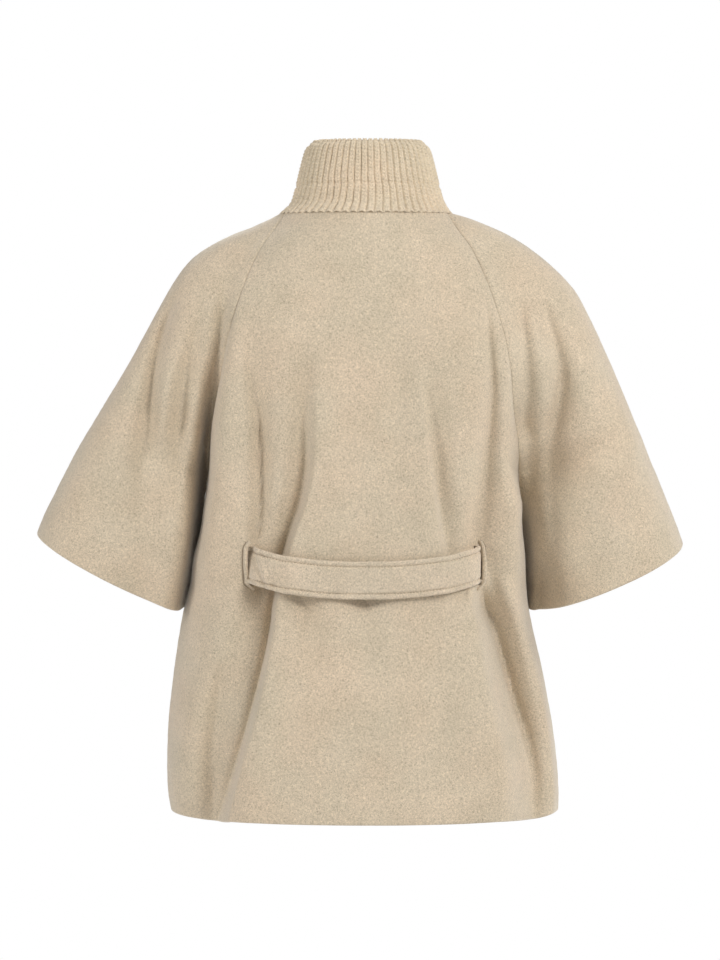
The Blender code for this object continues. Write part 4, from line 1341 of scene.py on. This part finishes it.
def belt_line(steps):
    """The belt's middle line from its right end to its left end, and its outward ways."""
    half = filled(BELT, steps)
    line = []
    for hand, rows in ((-1, half), (1, half[:-1][::-1])):
        for row in rows:
            x = hand * row.x
            hidden = 0
            if hand < 0:
                hidden = RIGHT_END_IN * ease((row.x - RIGHT_LIP_X + END_FROM) / END_RUN)
            slope = belt_bed(x + BED_STEP) - belt_bed(x - BED_STEP)
            outward = np.array([-slope, 2 * BED_STEP, 0.0])
            outward /= np.linalg.norm(outward)
            out = row.out - hidden + BELT_THICK / 2
            line.append(np.array([x, belt_bed(x), row.z]) + outward * out)
    line = evened(np.array(line), len(line) * 2)
    kernel = np.array([1, 2, 3, 2, 1]) / 9
    for axis in range(3):
        line[2:-2, axis] = np.convolve(line[:, axis], kernel, mode="valid")
    run = np.gradient(line, axis=0)
    run[:, 2] = 0
    outward = unit(np.stack([-run[:, 1], run[:, 0], np.zeros(len(line))], axis=1))
    outward *= np.sign(outward[:, 1:2])
    return line, outward


class COAT_OT_belt(bpy.types.Operator):
    """Make the stitched back belt"""

    bl_idname = "coat.belt"
    bl_label = "Belt"

    def execute(self, context):
        line, outward = belt_line(12)
        tall = BELT_WIDTH / 2
        up = np.linspace(-tall, tall, 57)
        section = [(self.puff(height, 1), height) for height in up]
        section += [(-self.puff(height, -1), height) for height in up[::-1]]
        vertices = []
        for number, place in enumerate(line):
            for out, height in section:
                where = place + outward[number] * out + np.array([0, 0, height])
                wobble = noise.noise(Vector(where) * 45) * 0.00035
                for middle, deep in PINCHES:
                    across = place[0] - middle - PINCH_LEAN * height
                    wobble -= deep * math.exp(-(across / PINCH_WIDE) ** 2)
                edge = ease((abs(height) - 0.0195) / 0.0015)
                fray = noise.noise(Vector(where) * 420) * 0.0005 * edge
                where = where + outward[number] * wobble
                where[2] += fray + noise.noise(Vector((place[0] * 30, 2, 8))) * 0.0004
                vertices.append(where)
        faces = tube_faces(len(line), len(section))
        piece = new_piece("back_belt", vertices, faces, finish_named("belt_wool"), 60)
        recalculated(piece)
        placed(piece, "belt")
        self.stitches(line, outward)
        return {"FINISHED"}

    def puff(self, height, face):
        """Half thickness of the belt at a height: puffed between its stitched lines."""
        tall = BELT_WIDTH / 2
        edge = math.sqrt(max(1 - max((abs(height) - (tall - 0.0020)) / 0.0020, 0) ** 2, 0))
        groove = math.exp(-((abs(height) - BELT_STITCH) / 0.0013) ** 2)
        body = BELT_THICK / 2 * (0.92 + 0.10 * math.cos(height / tall * math.pi / 2))
        return max((body - 0.0017 * groove * (1 if face > 0 else 0.5)) * edge, 0.00005)

    def stitches(self, line, outward):
        """Thread lying in the two stitched grooves."""
        run = run_along(line)
        vertices, faces = [], []
        for height in (-BELT_STITCH, BELT_STITCH):
            at = STITCH_FROM
            while at < run[-1] - STITCH_FROM:
                faces += tube_faces(STITCH_RINGS, THREAD_SIDES, len(vertices))
                for step in range(STITCH_RINGS):
                    far = at + STITCH_LONG * step / 4
                    place = np.array([np.interp(far, run, line[:, axis]) for axis in range(3)])
                    out = unit(np.array([np.interp(far, run, outward[:, axis])
                                         for axis in range(3)]))
                    lift = self.puff(height, 1) + 0.0002 * math.sin(math.pi * step / 4) - 0.00012
                    size = 0.00034 * math.sqrt(max(math.sin(math.pi * (step + 0.35) / 4.7), 0.08))
                    centre = place + out * lift + np.array([0, 0, height])
                    for corner in range(THREAD_SIDES):
                        turn = math.tau * corner / THREAD_SIDES
                        vertices.append(centre + out * size * math.cos(turn)
                                        + np.array([0, 0, size * math.sin(turn)]))
                at += STITCH_STEP
        # the belt's stitches share that darkened tone, so their grooves carry some painted shade too
        piece = new_piece("belt_stitches", vertices, faces, finish_named("thread_and_painted_shade"), 180)
        recalculated(piece)
        placed(piece, None)


class COAT_OT_slots(bpy.types.Operator):
    """Make the folded lips that bind the two belt slots, and the dark stitch lines beside them, which
    are partly painted shade
    """

    bl_idname = "coat.slots"
    bl_label = "Slot lips"

    def execute(self, context):
        for hand, side in ((1, "left"), (-1, "right")):
            for inner, kind in ((False, "outer"), (True, "inner")):
                node = "slot_lip_" + kind + "_" + side
                piece = self.lip(node + "_fold", hand, inner)
                placed(piece, node)
            # a dark stitch line beside the outer lip, partly painted shade
            self.seam("slot_stitch_and_shade_" + side)
        return {"FINISHED"}

    def seam(self, name):
        """The sunk dark stitch line along the outer side of the last outer lip: partly an edge stitch,
        partly painted shade where the lip meets the cloth.
        """
        vertices = []
        for place, across, outward in self.foot:
            for corner in range(THREAD_SIDES):
                turn = math.tau * corner / THREAD_SIDES
                vertices.append(place + across * STITCH_AND_SHADE_HALF * math.cos(turn)
                                + outward * STITCH_AND_SHADE_HALF * math.sin(turn))
        faces = tube_faces(len(self.foot), THREAD_SIDES)
        piece = new_piece(name, vertices, faces, finish_named("thread_and_painted_shade"), 180)
        recalculated(piece)
        placed(piece, None)

    def lip(self, name, hand, inner):
        """One rounded lip, lying on the back panel and bowed around the slot."""
        middle = LEFT_LIP_X if hand > 0 else RIGHT_LIP_X
        if inner:
            middle = SLOT_X - (SLOT_WIDE + LIP_WIDE) / 2
        above = SLOT_TALL / 2 + (INNER_SHORT if inner else OUTER_ABOVE)
        below = SLOT_TALL / 2 + (INNER_SHORT if inner else OUTER_BELOW)
        rings = []
        if not inner:
            self.foot = []
        for step in range(2 * LIP_STEPS + 1):
            along_slot = step / LIP_STEPS - 1
            bow = 0 if inner else LIP_BOW * (1 - along_slot ** 2)
            hook = HOOK_BELOW if along_slot < 0 else HOOK_ABOVE
            hook = hook * ease((abs(along_slot) - 0.70) / 0.3)
            x = hand * (middle + bow + (hook if inner else -hook))
            z = SLOT_Z + along_slot * (above if along_slot > 0 else below)
            slope = back_depth(x + 0.003, z) - back_depth(x - 0.003, z)
            across = unit(np.array([0.006, slope, 0]))
            outward = np.array([-across[1], across[0], 0])
            size = math.sqrt(max(1 - max(abs(along_slot) - 0.93, 0) ** 2 / 0.07 ** 2, 0.04))
            uneven = 1 + 0.06 * noise.noise(Vector((x * 90, z * 160, 3.0)))
            base = np.array([x, back_depth(x, z), z]) + outward * 0.0004
            if not inner:
                foot = x + hand * (LIP_WIDE / 2 * size + STITCH_AND_SHADE_HALF * 0.6)
                self.foot.append((np.array([foot, back_depth(foot, z) + 0.0006, z]),
                                  across, outward))
            ring = []
            for corner in range(LIP_SIDES):
                turn = math.tau * corner / LIP_SIDES
                side = math.cos(turn) * LIP_WIDE / 2 * size * uneven
                rise = max(math.sin(turn), -0.12)
                ring.append(base + across * side + outward * (LIP_HIGH * (rise + 0.12) / 1.12)
                            * size * uneven)
            rings.append(ring)
        vertices = [place for ring in rings for place in ring]
        faces = tube_faces(len(rings), LIP_SIDES)
        piece = new_piece(name, vertices, faces, finish_named("felted_wool"), 70)
        recalculated(piece)
        return piece


# ------------------------------------------------------------------ the studio

LAMPS = (
    # name, place, size and power of each soft light
    ("key_light", (-2.5, 3.1, 1.6), 1.2, 85),
    ("fill_light", (3.5, 2.0, 1.3), 1.2, 66),
    ("rim_light", (-2.6, 0.4, 1.8), 1.2, 26),
    ("front_light", (-1.5, -3.0, 1.5), 2.0, 30),
)
AIR_LIGHT = 0.36          # how strongly the air lights the coat
FLOOR_Z = -1.25
FLOOR_NEAR = 6.0          # the floor's edge beyond the camera, and its half width
BEND_Y = -2.2             # where the floor starts to curve up
BEND = 1.0                # radius of that curve
BACKDROP_TOP = 4.5
CAMERA_PLACE = (0.0069, 4.0, -0.158)
CAMERA_AIM = (0.0069, 0, -0.3066)
LENS = 131.1


class COAT_OT_studio(bpy.types.Operator):
    """Set up the pale surround, the soft lights and the camera"""

    bl_idname = "coat.studio"
    bl_label = "Studio"

    def execute(self, context):
        scene = context.scene
        scene.view_settings.view_transform = "Standard"
        pale = backdrop_material("pale_surround", (0.86, 0.86, 0.86))
        floor = self.sheet("studio_floor", pale)
        world = bpy.data.worlds.new("studio_air")
        scene.world = world
        world.use_nodes = True
        tree = world.node_tree
        air = tree.nodes["Background"]
        air.inputs["Color"].default_value = (1, 1, 1, 1)
        paths = linked(tree, "ShaderNodeLightPath")
        strength = linked(tree, "ShaderNodeMapRange",
                          {"Value": paths.outputs["Is Camera Ray"], "To Min": AIR_LIGHT, "To Max": 1.0})
        tree.links.new(strength.outputs["Result"], air.inputs["Strength"])
        for lamp in LAMPS:
            self.lamp(*lamp)
        camera = bpy.data.objects.new("studio_camera", bpy.data.cameras.new("studio_camera"))
        scene.collection.objects.link(camera)
        camera.location = CAMERA_PLACE
        aim = Vector(CAMERA_AIM) - camera.location
        camera.rotation_euler = aim.to_track_quat("-Z", "Y").to_euler()
        camera.data.lens = LENS
        camera.data.sensor_width = 36
        scene.camera = camera
        return {"FINISHED"}

    def sheet(self, name, material):
        """A floor that curves up into a backdrop behind the coat."""
        rows = [(FLOOR_NEAR, FLOOR_Z), (BEND_Y, FLOOR_Z)]
        for step in range(1, 13):
            turn = math.pi / 2 * step / 12
            rows.append((BEND_Y - math.sin(turn) * BEND, FLOOR_Z + (1 - math.cos(turn)) * BEND))
        rows.append((BEND_Y - BEND, BACKDROP_TOP))
        vertices = []
        for y, z in rows:
            vertices += [(-FLOOR_NEAR, y, z), (FLOOR_NEAR, y, z)]
        faces = [(2 * n, 2 * n + 1, 2 * n + 3, 2 * n + 2) for n in range(len(rows) - 1)]
        return new_piece(name, vertices, faces, material, 60)

    def lamp(self, name, place, size, power):
        """A square soft light aimed at the coat."""
        light = bpy.data.lights.new(name, "AREA")
        light.size = size
        light.energy = power
        lamp = bpy.data.objects.new(name, light)
        bpy.context.scene.collection.objects.link(lamp)
        lamp.location = place
        aim = Vector((0, 0, -0.35)) - Vector(place)
        lamp.rotation_euler = aim.to_track_quat("-Z", "Y").to_euler()


# ------------------------------------------------------------------ the add-on

class COAT_PT_panel(bpy.types.Panel):
    """Lists the coat's pieces and settings"""

    bl_idname = "COAT_PT_panel"
    bl_label = "Short cape coat"
    bl_space_type = "VIEW_3D"
    bl_region_type = "UI"
    bl_category = "Coat"

    def draw(self, context):
        layout = self.layout
        for operator in OPERATORS:
            layout.operator(operator.bl_idname)
        for group in (context.scene.coat_cloth, context.scene.coat_knit,
                      context.scene.coat_finish):
            for name in group.__annotations__:
                layout.prop(group, name)


OPERATORS = (COAT_OT_back, COAT_OT_fronts, COAT_OT_sleeves, COAT_OT_collar, COAT_OT_belt,
             COAT_OT_slots, COAT_OT_studio)
GROUPS = (CoatCloth, CoatKnit, CoatFinish)


def register():
    """Add the coat's classes and settings."""
    for made in (*GROUPS, *OPERATORS, COAT_PT_panel):
        bpy.utils.register_class(made)
    bpy.types.Scene.coat_cloth = PointerProperty(type=CoatCloth)
    bpy.types.Scene.coat_knit = PointerProperty(type=CoatKnit)
    bpy.types.Scene.coat_finish = PointerProperty(type=CoatFinish)


def unregister():
    """Take them away again."""
    del bpy.types.Scene.coat_finish
    del bpy.types.Scene.coat_knit
    del bpy.types.Scene.coat_cloth
    for made in (COAT_PT_panel, *reversed(OPERATORS), *reversed(GROUPS)):
        bpy.utils.unregister_class(made)


def main():
    """Make the whole coat and its studio."""
    register()
    bpy.ops.object.select_all(action="DESELECT")
    bpy.ops.coat.back()
    bpy.ops.coat.fronts()
    bpy.ops.coat.sleeves()
    bpy.ops.coat.collar()
    bpy.ops.coat.belt()
    bpy.ops.coat.slots()
    bpy.ops.coat.studio()


if __name__ == "__main__":
    main()
